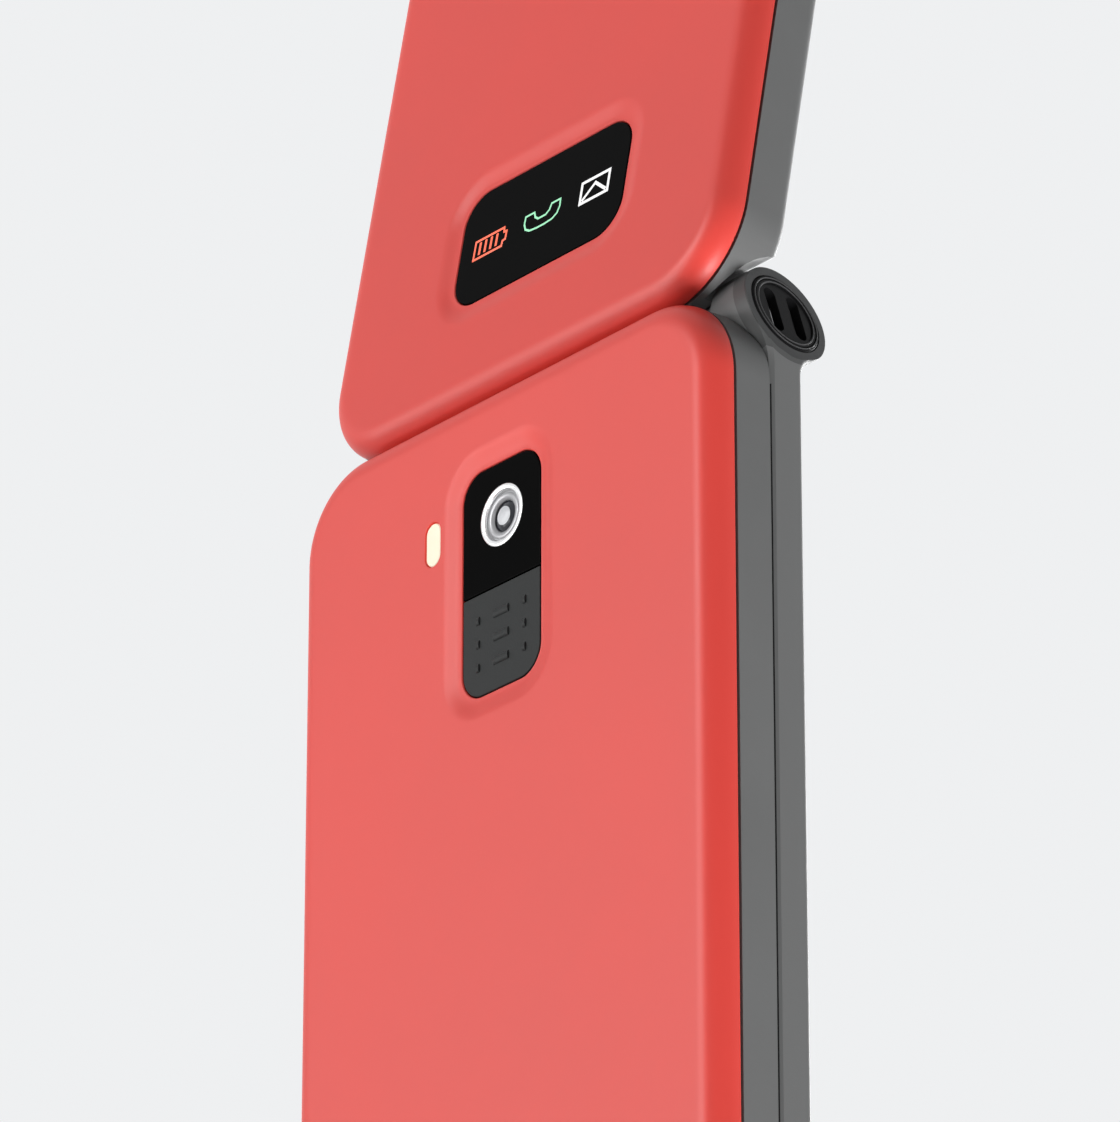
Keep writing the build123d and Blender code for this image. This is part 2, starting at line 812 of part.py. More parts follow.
def sim_holder():
    front = tray_back_y
    cage = block(
        sim_x - sim_width / 2, sim_x + sim_width / 2, front, front + sim_depth,
        sim_z - sim_height / 2, sim_z + sim_height / 2,
    )
    cage -= block(
        sim_x - sim_width / 2 + sim_wall, sim_x + sim_width / 2 - sim_wall, front + sim_wall,
        front + sim_depth - sim_wall, sim_z - sim_height, sim_z + sim_height / 2 - sim_wall,
    )
    return cage - disc(sim_x, sim_z, sim_window_radius, front + sim_depth / 2, back_y)


def screw(x, z, head_y, tip_y):
    top_y = head_y + math.copysign(screw_head_depth, head_y - tip_y)
    head = disc(x, z, screw_head, min(head_y, top_y), max(head_y, top_y))
    return head + disc(x, z, screw_shank, min(head_y, tip_y), max(head_y, tip_y))


def battery_contacts():
    low = battery_low + battery_height + battery_play / 2
    springs = []
    for x in (-contact_pitch, 0, contact_pitch):
        left = x - contact_width / 2
        right = x + contact_width / 2
        foot = block(left, right, tray_back_y, tray_back_y + contact_leaf, low, low + contact_foot)
        leaf = block(left, right, tray_back_y, tray_back_y + contact_height, low, low + contact_leaf)
        springs.append(foot + leaf)
    return Compound(springs)


# A half-round weight on the motor's shaft
def vibration_weight():
    start = motor_x + motor_length / 2 + weight_gap
    weight = bar(start, start + weight_length, motor_y, motor_z, weight_radius)
    weight -= block(
        start - past, start + weight_length + past, front_y, back_y, motor_z + weight_rise,
        motor_z + 2 * weight_radius
    )
    bore = motor_shaft_radius + weight_bore_gap
    return weight - bar(start - past, start + weight_length + past, motor_y, motor_z, bore)


def lid_cover():
    shell = slab(lid_outline(0), lid_cover_edge, lid_outer)
    shell = fillet(back_edges(shell), lid_cover_round)
    hollow = slab(lid_outline(lid_wall), lid_cover_edge - past, lid_cover_inner)
    hollow = fillet(back_edges(hollow), lid_cover_round - lid_wall)
    shell -= hollow
    shell -= dish(
        indicator_offset, indicator_z, indicator_width, indicator_height, indicator_radius, lid_outer
    )
    opening = rounded(
        indicator_offset, indicator_z, indicator_width + 2 * fit_clearance,
        indicator_height + 2 * fit_clearance,
        indicator_radius,
    )
    shell -= slab(opening, lid_parting, lid_outer + past)
    for x, z in bumper_places:
        shell += disc(
            x, z, post_radius, lid_inner + lid_plate + bumper_boss + lid_post_gap, lid_cover_inner + sunk
        )
        shell -= disc(x, z, screw_shank + screw_bite, lid_inner, lid_cover_inner - lid_screw_end)
    return shell


# Side view of the room that the lid's foot leaves for a boss or ear, with its front lip rounded
def foot_notch(radius):
    high = 3 * ear_radius
    foot = Pos(lid_inner + high / 2, 0) * Rectangle(high, 2 * high) - Circle(radius)
    lip = foot.vertices().sort_by(Axis.X)[:4].sort_by_distance((lid_inner, radius, 0))[0]
    foot = fillet(lip, lid_front_round)
    return Rectangle(2 * (lid_inner + high), 2 * high) - foot


def lid_frame():
    solid = slab(lid_outline(0), lid_inner, lid_frame_edge)
    solid = fillet(front_edges(solid), lid_front_round)
    hollow = slab(lid_outline(lid_wall), lid_inner + lid_plate, lid_outer)
    hollow &= block(-lid_width, lid_width, -lid_outer, lid_outer * 2, lid_chin, lid_length)
    solid -= hollow
    lip = slab(lid_outline(lip_inset), lid_frame_edge - past, lid_frame_edge + lip_height)
    lip -= slab(lid_outline(band_wall), lid_frame_edge - 2 * past, lid_frame_edge + 2 * past)
    lip &= block(-lid_width, lid_width, -lid_outer, lid_outer * 2, lid_chin, lid_length)
    solid += lip
    solid += bar(-barrel_half, barrel_half, 0, 0, barrel_radius)
    boss_room = (barrel_half, barrel_radius + boss_clearance)
    ear_room = (ear_notch_x, ear_radius + notch_clearance)
    for start, radius in (boss_room, ear_room):
        notch = extrude(Plane.YZ.offset(start) * foot_notch(radius), amount=lid_width)
        solid -= notch
        solid -= mirrored(notch)
    solid -= bar(
        -barrel_half - past, -barrel_half + cartridge_length + sunk, 0, 0, cartridge_radius + pin_clearance
    )
    solid -= bar(barrel_half - pin_reach - pin_end_gap, barrel_half + past, 0, 0, pin_radius + pin_clearance)
    solid -= bar(-barrel_half + cartridge_length, barrel_half - pin_reach, 0, 0, flex_bore_radius)
    solid -= block(
        flex_x - flex_width / 2 - flex_slot_margin, flex_x + flex_width / 2 + flex_slot_margin,
        flex_tail_y - fit_clearance, flex_outer_radius + fit_clearance, 0, lid_chin + past,
    )
    solid -= slab(
        rounded(
            0, display_window_z, display_window_width + fit_clearance, display_window_height + fit_clearance,
            display_window_radius,
        ),
        lid_inner - past, lid_inner + display_window_thickness + seat_gap,
    )
    solid -= slab(
        rounded(0, screen_z, screen_width, screen_height, screen_radius), lid_inner - past, lid_outer
    )
    slot = Pos(0, earpiece_z) * SlotOverall(earpiece_slot_length, earpiece_slot_width)
    solid -= slab(slot, lid_inner - past, lid_outer)
    for x, z in bumper_places:
        solid += disc(
            x, z, bumper_radius + bumper_wall, lid_inner + bumper_wall, lid_inner + lid_plate + bumper_boss
        )
        solid -= disc(
            x, z, bumper_radius + rest_gap, lid_inner - past, lid_inner + bumper_depth + screw_head_depth
        )
        solid -= disc(x, z, screw_shank + screw_clearance, lid_inner, lid_outer)
    return solid


def flex_cable():
    left = flex_x - flex_width / 2
    right = flex_x + flex_width / 2
    wrap = bar(left, right, 0, 0, flex_outer_radius)
    wrap -= bar(left - past, right + past, 0, 0, flex_tail_y)
    wrap -= block(left - past, right + past, flex_open_low, flex_open_high, -2 * flex_outer_radius, 0)
    return wrap + block(left, right, flex_tail_y, flex_outer_radius, 0, lid_chin + flex_tail)


def indicator_window():
    plate = slab(
        rounded(indicator_offset, indicator_z, indicator_width, indicator_height, indicator_radius),
        indicator_face - indicator_thickness, indicator_face,
    )
    flange = slab(
        rounded(
            indicator_offset, indicator_z, indicator_width + 2 * indicator_rim,
            indicator_height + 2 * indicator_rim,
            indicator_radius + indicator_rim,
        ),
        indicator_face - indicator_thickness, lid_cover_inner - rest_gap,
    )
    return plate + flange


volume_y = (rear_front_y + rear_back_y) / 2
usb_back_y = board_back_y + usb_depth
motor_y = board_back_y + motor_radius + rest_gap
key_places = key_layout()
in_lid = Pos(0, hinge_y, hinge_height) * Rot(lid_lean, 0, 0)

# Base
save("battery_cover", battery_cover())
save("rear_housing", rear_housing())
save("front_housing", front_housing())
save("hinge_cap_left", hinge_cap())
save("hinge_cap_right", mirrored(hinge_cap()))
save("dome_sheet", dome_sheet())
save("main_board", main_board())
shield_can = block(
    -shield_width / 2, shield_width / 2, board_back_y, board_back_y + shield_depth, shield_low, shield_high
)
save("shield_can", shield_can)
battery = slab(
    rounded(0, battery_z, battery_width, battery_height, battery_corner), battery_front_y, battery_back_y
)
save("battery", battery)
save("battery_contacts", battery_contacts())
save("sim_holder", sim_holder())

for name, place in key_places.items():
    save(name, key(place, nav_play if name == "nav_key" else key_play))

volume_inner = base_width / 2 - band_wall - volume_play
volume = block(
    volume_inner, base_width / 2 + volume_proud, volume_y - volume_width / 2, volume_y + volume_width / 2,
    volume_z - volume_length / 2, volume_z + volume_length / 2,
)
volume = fillet(volume.faces().sort_by(Axis.X)[-1].edges(), volume_round)
volume += block(
    volume_inner - volume_flange, volume_inner, volume_y - volume_width / 2, volume_y + volume_width / 2,
    volume_z - volume_length / 2 - volume_flange_rim, volume_z + volume_length / 2 + volume_flange_rim,
)
save("volume_key", volume)

# Camera group
window = rounded(0, window_z, window_width, window_height, window_radius)
camera_window = slab(window, window_back_y, window_face_y)
camera_window &= block(
    -window_width, window_width, front_y, back_y, split_z + fit_clearance / 2, window_top + past
)
camera_window -= disc(0, camera_z, camera_ring_radius + seat_gap, front_y, back_y)
save("camera_window", camera_window)
sos_key = slab(window, sos_back_y, window_face_y)
sos_key &= block(
    -window_width, window_width, front_y, back_y, window_bottom - past, split_z - fit_clearance / 2
)
save("sos_key", sos_key)
save("camera_ring", camera_ring())
save("camera_lens", camera_lens())
half_module = camera_module_size / 2
camera_module = block(
    -half_module, half_module, tray_front_y, window_back_y - bay_wall - fit_clearance, camera_z - half_module,
    camera_z + half_module,
)
camera_module += disc(
    0, camera_z, camera_ring_radius + camera_seat_rim, window_back_y - bay_wall - 2 * fit_clearance,
    window_back_y - rest_gap,
)
save("camera_module", camera_module)
sos_z = (window_bottom + split_z) / 2
half_switch = switch_size / 2
switch_body_y = switch_top_y - switch_button_depth
sos_switch = block(
    -half_switch, half_switch, tray_back_y, switch_body_y, sos_z - half_switch, sos_z + half_switch
)
sos_switch += disc(0, sos_z, switch_button_radius, switch_body_y - sunk, switch_top_y)
save("sos_switch", sos_switch)
flash = Pos(flash_offset, flash_z) * SlotOverall(flash_height, flash_width, rotation=90)
flash_lens = slab(flash, tray_back_y + flash_lens_lift, back_y - flash_sink)
save("flash_lens", flash_lens)
flash_led = block(
    flash_offset - flash_led_width / 2, flash_offset + flash_led_width / 2, tray_back_y,
    tray_back_y + flash_led_depth, flash_z - flash_led_height / 2, flash_z + flash_led_height / 2,
)
save("flash_led", flash_led)

# Bottom end of the base
save("usb_port", usb_port())
speaker = slab(
    rounded(speaker_x, speaker_z, speaker_width, speaker_height, speaker_corner), board_back_y,
    board_back_y + speaker_depth,
)
save("loudspeaker", speaker)
microphone = disc(
    microphone_x, microphone_z, microphone_radius, board_back_y, board_back_y + microphone_depth
)
save("microphone", microphone)
motor = bar(motor_x - motor_length / 2, motor_x + motor_length / 2, motor_y, motor_z, motor_radius)
motor += bar(
    motor_x, motor_x + motor_length / 2 + weight_gap + weight_length, motor_y, motor_z, motor_shaft_radius
)
save("vibration_motor", motor)
save("vibration_weight", vibration_weight())
antenna_low_y = motor_y + motor_radius + antenna_gap
antenna = slab(
    rounded(motor_x + antenna_shift, motor_z + antenna_lift, antenna_width, antenna_height, antenna_radius),
    antenna_low_y, antenna_low_y + antenna_thickness,
)
save("antenna", antenna)
screws = [screw(x, z, tray_back_y, plate_back_y + screw_tip_gap) for x, z in screw_places]
save("housing_screws", Compound(screws))

# Hinge pieces
pin = bar(barrel_half - pin_reach, ear_face_x - pocket_depth, hinge_y, hinge_height, pin_radius)
save("hinge_pin", pin)
half_square = shaft_square / 2
hinge_shaft = block(
    -ear_face_x + pocket_depth, -boss_inner_x, hinge_y - half_square, hinge_y + half_square,
    hinge_height - half_square, hinge_height + half_square,
)
hinge_shaft += bar(-boss_inner_x - sunk, -barrel_half + shaft_reach, hinge_y, hinge_height, shaft_radius)
save("hinge_shaft", hinge_shaft)
cartridge = bar(-barrel_half + rest_gap, -barrel_half + cartridge_length, 0, 0, cartridge_radius)
cartridge -= bar(
    -barrel_half - past, -barrel_half + shaft_reach + shaft_end_gap, 0, 0, shaft_radius + pin_clearance
)
save("hinge_cartridge", in_lid * cartridge)

# Lid
save("lid_cover", in_lid * lid_cover())
save("lid_frame", in_lid * lid_frame())
save("indicator_window", in_lid * indicator_window())
save("flex_cable", in_lid * flex_cable())
display_window = slab(
    rounded(0, display_window_z, display_window_width, display_window_height, display_window_radius),
    lid_inner, lid_inner + display_window_thickness,
)
save("display_window", in_lid * display_window)
display_module = block(
    -display_width / 2, display_width / 2, display_front, display_front + display_thickness, display_low,
    display_high
)
save("display_module", in_lid * display_module)
lid_board_front = display_front + display_thickness + rest_gap
lid_board = block(
    -lid_board_width / 2, lid_board_width / 2, lid_board_front, lid_board_front + lid_board_thickness,
    lid_board_low, lid_board_high,
)
save("lid_board", in_lid * lid_board)
lamp_front = lid_board_front + lid_board_thickness
lamps = []
for side in (-1, 0, 1):
    x = indicator_offset + side * lamp_pitch
    lamp = block(
        x - lamp_width / 2, x + lamp_width / 2, lamp_front, lamp_front + lamp_depth,
        indicator_z - lamp_height / 2, indicator_z + lamp_height / 2,
    )
    lamps.append(lamp)
save("indicator_leds", in_lid * Compound(lamps))
earpiece = slab(
    rounded(0, earpiece_z, earpiece_width, earpiece_height, earpiece_radius), display_front,
    display_front + earpiece_depth,
)
save("earpiece", in_lid * earpiece)
magnet = disc(magnet_x, earpiece_z, magnet_radius, display_front, display_front + magnet_depth)
save("closing_magnet", in_lid * magnet)
bumpers = [
    disc(x, z, bumper_radius, lid_inner - bumper_proud, lid_inner + bumper_depth - seat_gap)
    for x, z in bumper_places
]
save("lid_bumpers", in_lid * Compound(bumpers))
lid_screws = [
    screw(x, z, lid_inner + bumper_depth + screw_head_depth, lid_cover_inner - lid_screw_tip_gap)
    for x, z in bumper_places
]
save("lid_screws", in_lid * Compound(lid_screws))
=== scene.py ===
import json
import math

import bmesh
import bpy
import numpy as np
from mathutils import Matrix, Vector

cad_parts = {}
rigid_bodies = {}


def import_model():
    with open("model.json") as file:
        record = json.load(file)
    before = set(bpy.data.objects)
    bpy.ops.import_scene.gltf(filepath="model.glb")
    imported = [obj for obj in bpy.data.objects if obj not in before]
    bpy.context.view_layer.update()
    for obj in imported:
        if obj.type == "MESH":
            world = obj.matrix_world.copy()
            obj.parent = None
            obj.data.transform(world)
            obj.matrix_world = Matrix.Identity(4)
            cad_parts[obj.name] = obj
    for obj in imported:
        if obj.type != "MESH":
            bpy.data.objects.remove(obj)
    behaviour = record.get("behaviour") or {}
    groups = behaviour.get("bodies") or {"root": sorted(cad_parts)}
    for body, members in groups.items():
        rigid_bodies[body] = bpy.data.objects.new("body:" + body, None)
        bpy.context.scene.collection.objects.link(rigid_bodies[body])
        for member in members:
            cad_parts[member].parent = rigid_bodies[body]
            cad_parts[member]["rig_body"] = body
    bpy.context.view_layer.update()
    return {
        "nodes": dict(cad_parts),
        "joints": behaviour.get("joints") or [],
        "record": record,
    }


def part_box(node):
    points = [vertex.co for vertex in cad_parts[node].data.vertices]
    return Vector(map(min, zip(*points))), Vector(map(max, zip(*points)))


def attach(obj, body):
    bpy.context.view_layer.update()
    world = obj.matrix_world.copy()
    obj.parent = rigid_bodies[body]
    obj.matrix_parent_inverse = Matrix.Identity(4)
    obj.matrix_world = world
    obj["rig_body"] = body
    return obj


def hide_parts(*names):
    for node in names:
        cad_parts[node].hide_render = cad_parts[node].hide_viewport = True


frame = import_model()
nodes = frame["nodes"]
slotOf = {part["node"]: part["material_slot"] for part in frame["record"]["subparts"]}
mm = 0.001
weldGap = 1e-7    # metres, the distance below which points become one
print("frame loaded:", len(nodes), "nodes")

# Where the phone's own planes lie, in millimetres: the hinge axis, how far the lid leans, and the middle
# and direction of the left ear's end face, which the right ear's mirrors
hingeJoint = next(j for j in frame["joints"] if j["name"] == "lid_hinge")
hingeY, hingeZ = np.array(hingeJoint["pos_m"])[1:] / mm
lidLean = math.radians(180 - hingeJoint["range_deg"][1])
ear = {"x": 25.7, "normal": (0.951, -0.087, 0.295)}


def bodyOf(node):
    return nodes[node]["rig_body"]


# The base keeps the phone's own coordinates: x, out of the back, up
def onBase(points):
    return points


# Lid coordinates (x, out of the lid's back, up the lid) to the phone's own, by a turn about the hinge
def onLid(points):
    x, n, h = points[..., 0], points[..., 1], points[..., 2]
    c, s = math.cos(lidLean), math.sin(lidLean)
    return np.stack([x, hingeY + n * c - h * s, hingeZ + n * s + h * c], axis=-1)


# Closed outline of a rounded rectangle, the same number of points whatever its size: four quarter
# circles of radius r centred on the inner rectangle's corners, joined by evenly divided sides
def roundedLoop(cx, cz, width, height, radius, arc=24, side=14):
    least = 1e-4    # mm, so that neither a side nor the radius vanishes
    radius = max(min(radius, width / 2 - least, height / 2 - least), least)
    turn = np.linspace(0, np.pi / 2, arc)
    corners = []
    for i, (sx, sz) in enumerate([(1, 1), (-1, 1), (-1, -1), (1, -1)]):
        centre = np.array([cx + sx * (width / 2 - radius), cz + sz * (height / 2 - radius)])
        angle = turn + i * np.pi / 2
        corners.append(centre + radius * np.stack([np.cos(angle), np.sin(angle)], axis=-1))
    run = np.linspace(0, 1, side + 2)[1:-1, None]
    loop = []
    for corner, after in zip(corners, corners[1:] + corners[:1]):
        loop += [corner, corner[-1] * (1 - run) + after[0] * run]
    return np.concatenate(loop)


# Quads between the neighbours of a grid of points, numbered row by row, each row a closed loop
def gridQuads(count, per, closedRows, start=0):
    rows = np.arange(count if closedRows else count - 1)
    i, j = np.meshgrid(rows, np.arange(per), indexing="ij")
    i2, j2 = (i + 1) % count, (j + 1) % per
    quads = np.stack([i * per + j, i * per + j2, i2 * per + j2, i2 * per + j], axis=-1)
    return (quads.reshape(-1, 4) + start).tolist()


# Smooth shading that leaves edges sharper than the angle as they are
def shadeSmooth(mesh, angle=35):
    mesh.shade_smooth()
    mesh.set_sharp_from_angle(angle=math.radians(angle))


# A mesh becomes a piece of the scene, in one finish all over
def addPiece(name, mesh, material):
    mesh.materials.clear()
    mesh.materials.append(material)
    piece = bpy.data.objects.new(name, mesh)
    bpy.context.scene.collection.objects.link(piece)
    return piece


# Points in millimetres and their faces as a piece: doubles merged, faces turned outwards
def makePiece(name, points, faces, material, body, sharp=35):
    mesh = bpy.data.meshes.new(name)
    mesh.from_pydata((points * mm).tolist(), [], faces)
    work = bmesh.new()
    work.from_mesh(mesh)
    bmesh.ops.remove_doubles(work, verts=work.verts, dist=weldGap)
    bmesh.ops.recalc_face_normals(work, faces=work.faces)
    work.to_mesh(mesh)
    work.free()
    shadeSmooth(mesh, sharp)
    piece = addPiece(name, mesh, material)
    if body:
        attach(piece, body)
    return piece


# A grid of points as a piece, its first and last loop filled where capEnds says so
def gridPiece(name, rows, material, body, closedRows, capEnds=False):
    count, per = rows.shape[:2]
    faces = gridQuads(count, per, closedRows)
    if capEnds:
        faces.append(list(range(per))[::-1])
        faces.append([(count - 1) * per + k for k in range(per)])
    return makePiece(name, rows.reshape(-1, 3), faces, material, body)


# Rings of (outline, depth) joined one after another into a skin; place carries them to the phone
def loft(name, rings, place, material, body, closedRows=True, capEnds=False):
    rows = []
    for loop, depth in rings:
        rows.append(place(np.column_stack([loop[:, 0], np.full(len(loop), depth), loop[:, 1]])))
    return gridPiece(name, np.stack(rows), material, body, closedRows, capEnds)


# A rounded slab round x, from low to high up the phone and between two depths
def slab(name, x, form, place, material, body):
    loop = roundedLoop(x, (form["low"] + form["high"]) / 2, form["width"], form["high"] - form["low"],
                       form["corner"], arc=6, side=2)
    return loft(name, [(loop, form["from"]), (loop, form["to"])], place, material, body, closedRows=False,
                capEnds=True)


# A profile of (radius, depth) turned about the line through (x, z) that points out of the back
def lathe(name, profile, x, z, material, body, steps=96, closedRows=True):
    angle = np.linspace(0, 2 * np.pi, steps, endpoint=False)
    radius, depth = np.array(profile, float).T
    rows = np.stack([
        x + radius[:, None] * np.cos(angle),
        np.repeat(depth[:, None], steps, axis=1),
        z + radius[:, None] * np.sin(angle),
    ], axis=-1)
    return gridPiece(name, rows, material, body, closedRows)


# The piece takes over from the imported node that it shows
def standFor(node):
    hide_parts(node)


# A merged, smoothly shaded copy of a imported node, its edges rounded a little, which then stands for it
packedCopy = {"weld": 2e-6, "flatten": 0.5, "sharp": 30, "bevelSteps": 2}


def smoothCopy(node, material, bevel):
    mesh = nodes[node].data.copy()
    work = bmesh.new()
    work.from_mesh(mesh)
    bmesh.ops.remove_doubles(work, verts=work.verts, dist=packedCopy["weld"])
    bmesh.ops.dissolve_limit(work, angle_limit=math.radians(packedCopy["flatten"]), verts=work.verts,
                             edges=work.edges)
    work.to_mesh(mesh)
    work.free()
    for name in ("sharp_edge", "sharp_face", "custom_normal"):
        if name in mesh.attributes:
            mesh.attributes.remove(mesh.attributes[name])
    shadeSmooth(mesh, packedCopy["sharp"])
    piece = addPiece(node + "_piece", mesh, material)
    if bevel:
        rounded = piece.modifiers.new("edge", "BEVEL")
        rounded.width = bevel * mm
        rounded.segments = packedCopy["bevelSteps"]
        rounded.limit_method = "ANGLE"
        rounded.angle_limit = math.radians(packedCopy["sharp"])
        rounded.harden_normals = True
    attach(piece, bodyOf(node))
    standFor(node)


# Oblong openings through a skin, cut with a prism for each and the cutters thrown away
def cutOblongs(piece, oblongs, low, high, place):
    cutters = []
    for i, (x, z, width, height) in enumerate(oblongs):
        loop = roundedLoop(x, z, width, height, min(width, height) / 2)
        cutter = loft("cutter" + str(i), [(loop, low), (loop, high)], place, piece.data.materials[0], None,
                      closedRows=False, capEnds=True)
        cut = piece.modifiers.new("cut" + str(i), "BOOLEAN")
        cut.operation = "DIFFERENCE"
        cut.solver = "EXACT"
        cut.object = cutter
        cutters.append(cutter)
    bpy.context.view_layer.update()
    piece.data = bpy.data.meshes.new_from_object(piece.evaluated_get(bpy.context.evaluated_depsgraph_get()))
    piece.modifiers.clear()
    for cutter in cutters:
        bpy.data.objects.remove(cutter)
    shadeSmooth(piece.data)


# A node that works something out from sockets and plain values, and gives its outputs
def workOut(tree, kind, way, *values):
    node = tree.nodes.new(kind)
    node.operation = way
    for socket, value in zip(node.inputs, values):
        if isinstance(value, bpy.types.NodeSocket):
            tree.links.new(value, socket)
        else:
            socket.default_value = value
    return node.outputs


# The same for one number: a sum, a product, a test
def number(tree, way, *values):
    return workOut(tree, "ShaderNodeMath", way, *values)["Value"]


# Noise in the piece's own coordinates, as a socket
def noise(tree, scale, detail):
    place = tree.nodes.new("ShaderNodeTexCoord")
    cloud = tree.nodes.new("ShaderNodeTexNoise")
    cloud.inputs["Scale"].default_value = scale
    cloud.inputs["Detail"].default_value = detail
    tree.links.new(place.outputs["Object"], cloud.inputs["Vector"])
    return cloud.outputs["Fac"]


# Plain finishes: a colour with a faint cloud in it, and a fine grain as a bump
finishLook = {"cloudFrom": 0.3, "cloudTo": 0.7, "roughSpread": 0.05, "grainDepth": 0.00005}


def newMaterial(name, color, roughness, metallic=0.0, grain=0.0, grainScale=2500, shade=0.0, shadeScale=60,
                specular=0.5, emission=None):
    material = bpy.data.materials.new(name)
    material.use_nodes = True
    tree = material.node_tree
    shader = tree.nodes["Principled BSDF"]
    shader.inputs["Base Color"].default_value = (*color, 1)
    shader.inputs["Roughness"].default_value = roughness
    shader.inputs["Metallic"].default_value = metallic
    shader.inputs["Specular IOR Level"].default_value = specular
    if shade:
        cloud = noise(tree, shadeScale, 4)
        ramp = tree.nodes.new("ShaderNodeValToRGB")
        ramp.color_ramp.elements[0].position = finishLook["cloudFrom"]
        ramp.color_ramp.elements[1].position = finishLook["cloudTo"]
        ramp.color_ramp.elements[0].color = (*[c * (1 - shade) for c in color], 1)
        ramp.color_ramp.elements[1].color = (*[min(c * (1 + shade), 1) for c in color], 1)
        tree.links.new(cloud, ramp.inputs["Fac"])
        tree.links.new(ramp.outputs["Color"], shader.inputs["Base Color"])
        rough = tree.nodes.new("ShaderNodeMapRange")
        rough.inputs["To Min"].default_value = roughness - finishLook["roughSpread"]
        rough.inputs["To Max"].default_value = roughness + finishLook["roughSpread"]
        tree.links.new(cloud, rough.inputs["Value"])
        tree.links.new(rough.outputs["Result"], shader.inputs["Roughness"])
    if grain:
        bump = tree.nodes.new("ShaderNodeBump")
        bump.inputs["Strength"].default_value = grain
        bump.inputs["Distance"].default_value = finishLook["grainDepth"]
        tree.links.new(noise(tree, grainScale, 3), bump.inputs["Height"])
        tree.links.new(bump.outputs["Normal"], shader.inputs["Normal"])
    if emission:
        glow, strength = emission
        shader.inputs["Emission Color"].default_value = (*glow, 1)
        shader.inputs["Emission Strength"].default_value = strength
    return material


softRed = newMaterial("softRed", (0.86, 0.066, 0.05), 0.42, grain=0.1, grainScale=5200, shade=0.03,
                      shadeScale=35)
mouldedGrey = newMaterial("mouldedGrey", (0.168, 0.171, 0.171), 0.42, grain=0.22, grainScale=4200,
                          shade=0.06, specular=0.25)
# The front housing's grey, which takes a painted shade in its seam, below
seamShadeGrey = newMaterial("seamShadeGrey", (0.168, 0.171, 0.171), 0.42, grain=0.22, grainScale=4200, specular=0.25)
capGrey = newMaterial("capGrey", (0.009, 0.009, 0.0095), 0.3, grain=0.15, grainScale=4200, shade=0.06,
                      specular=0.04)
glossBlack = newMaterial("glossBlack", (0.003, 0.003, 0.003), 0.14, shade=0.1, specular=0.012)
keyGrey = newMaterial("keyGrey", (0.027, 0.029, 0.029), 0.42, grain=0.2, grainScale=4800, shade=0.05,
                      specular=0.12)
# Lighter and glossier than the caps: a painted highlight on the caps' lips
capLipHighlight = newMaterial("capLipHighlight", (0.06, 0.06, 0.062), 0.3, grain=0.1, grainScale=4200, specular=0.3)
brightSteel = newMaterial("brightSteel", (0.86, 0.86, 0.86), 0.22, metallic=1.0, shade=0.03, shadeScale=400)
satinSteel = newMaterial("satinSteel", (0.36, 0.36, 0.37), 0.34, metallic=0.6, shade=0.05, shadeScale=400)
lensGlass = newMaterial("lensGlass", (0.02, 0.022, 0.03), 0.08, shade=0.1, shadeScale=500, specular=0.4)
# A pale finish for the painted reflection on the lens
lensGlintPaint = newMaterial("lensGlintPaint", (0.75, 0.77, 0.8), 0.3, shade=0.04, shadeScale=900)
creamFlash = newMaterial("creamFlash", (0.95, 0.88, 0.68), 0.25, shade=0.04, shadeScale=900,
                         emission=((1, 0.93, 0.72), 0.25))
plainBlack = newMaterial("plainBlack", (0.02, 0.02, 0.02), 0.5, grain=0.3, shade=0.08)
cellWrap = newMaterial("cellWrap", (0.24, 0.24, 0.25), 0.45, grain=0.1, shade=0.08)
goldContact = newMaterial("goldContact", (0.86, 0.62, 0.25), 0.25, metallic=1.0, shade=0.05, shadeScale=600)
greenMask = newMaterial("greenMask", (0.015, 0.13, 0.05), 0.35, shade=0.2, shadeScale=300)
tinPlate = newMaterial("tinPlate", (0.6, 0.6, 0.6), 0.35, metallic=1.0, shade=0.06, shadeScale=300)
groundSteel = newMaterial("groundSteel", (0.42, 0.42, 0.43), 0.3, metallic=1.0, shade=0.06, shadeScale=500)
domeFilm = newMaterial("domeFilm", (0.55, 0.56, 0.55), 0.3, shade=0.06, shadeScale=200)
amberFilm = newMaterial("amberFilm", (0.5, 0.2, 0.03), 0.3, shade=0.12, shadeScale=300)
screenGlass = newMaterial("screenGlass", (0.008, 0.008, 0.01), 0.1, shade=0.1, specular=0.4)
screenPanel = newMaterial("screenPanel", (0.018, 0.022, 0.026), 0.14, shade=0.08, specular=0.4)
ledBody = newMaterial("ledBody", (0.85, 0.83, 0.7), 0.4, shade=0.04, shadeScale=800)
softRubber = newMaterial("softRubber", (0.03, 0.03, 0.03), 0.75, grain=0.3, shade=0.1)
litOrange = newMaterial("litOrange", (0.3, 0.02, 0.01), 0.4, emission=((1, 0.16, 0.07), 1.0))
litMint = newMaterial("litMint", (0.1, 0.25, 0.15), 0.4, emission=((0.33, 0.82, 0.5), 0.9))
litWhite = newMaterial("litWhite", (0.3, 0.3, 0.3), 0.4, emission=((0.9, 0.9, 0.9), 0.9))
legendWhite = newMaterial("legendWhite", (0.72, 0.72, 0.72), 0.4, shade=0.03, shadeScale=300)
legendGreen = newMaterial("legendGreen", (0.05, 0.5, 0.12), 0.4, shade=0.03, shadeScale=300)
legendRed = newMaterial("legendRed", (0.7, 0.03, 0.02), 0.4, shade=0.03, shadeScale=300)


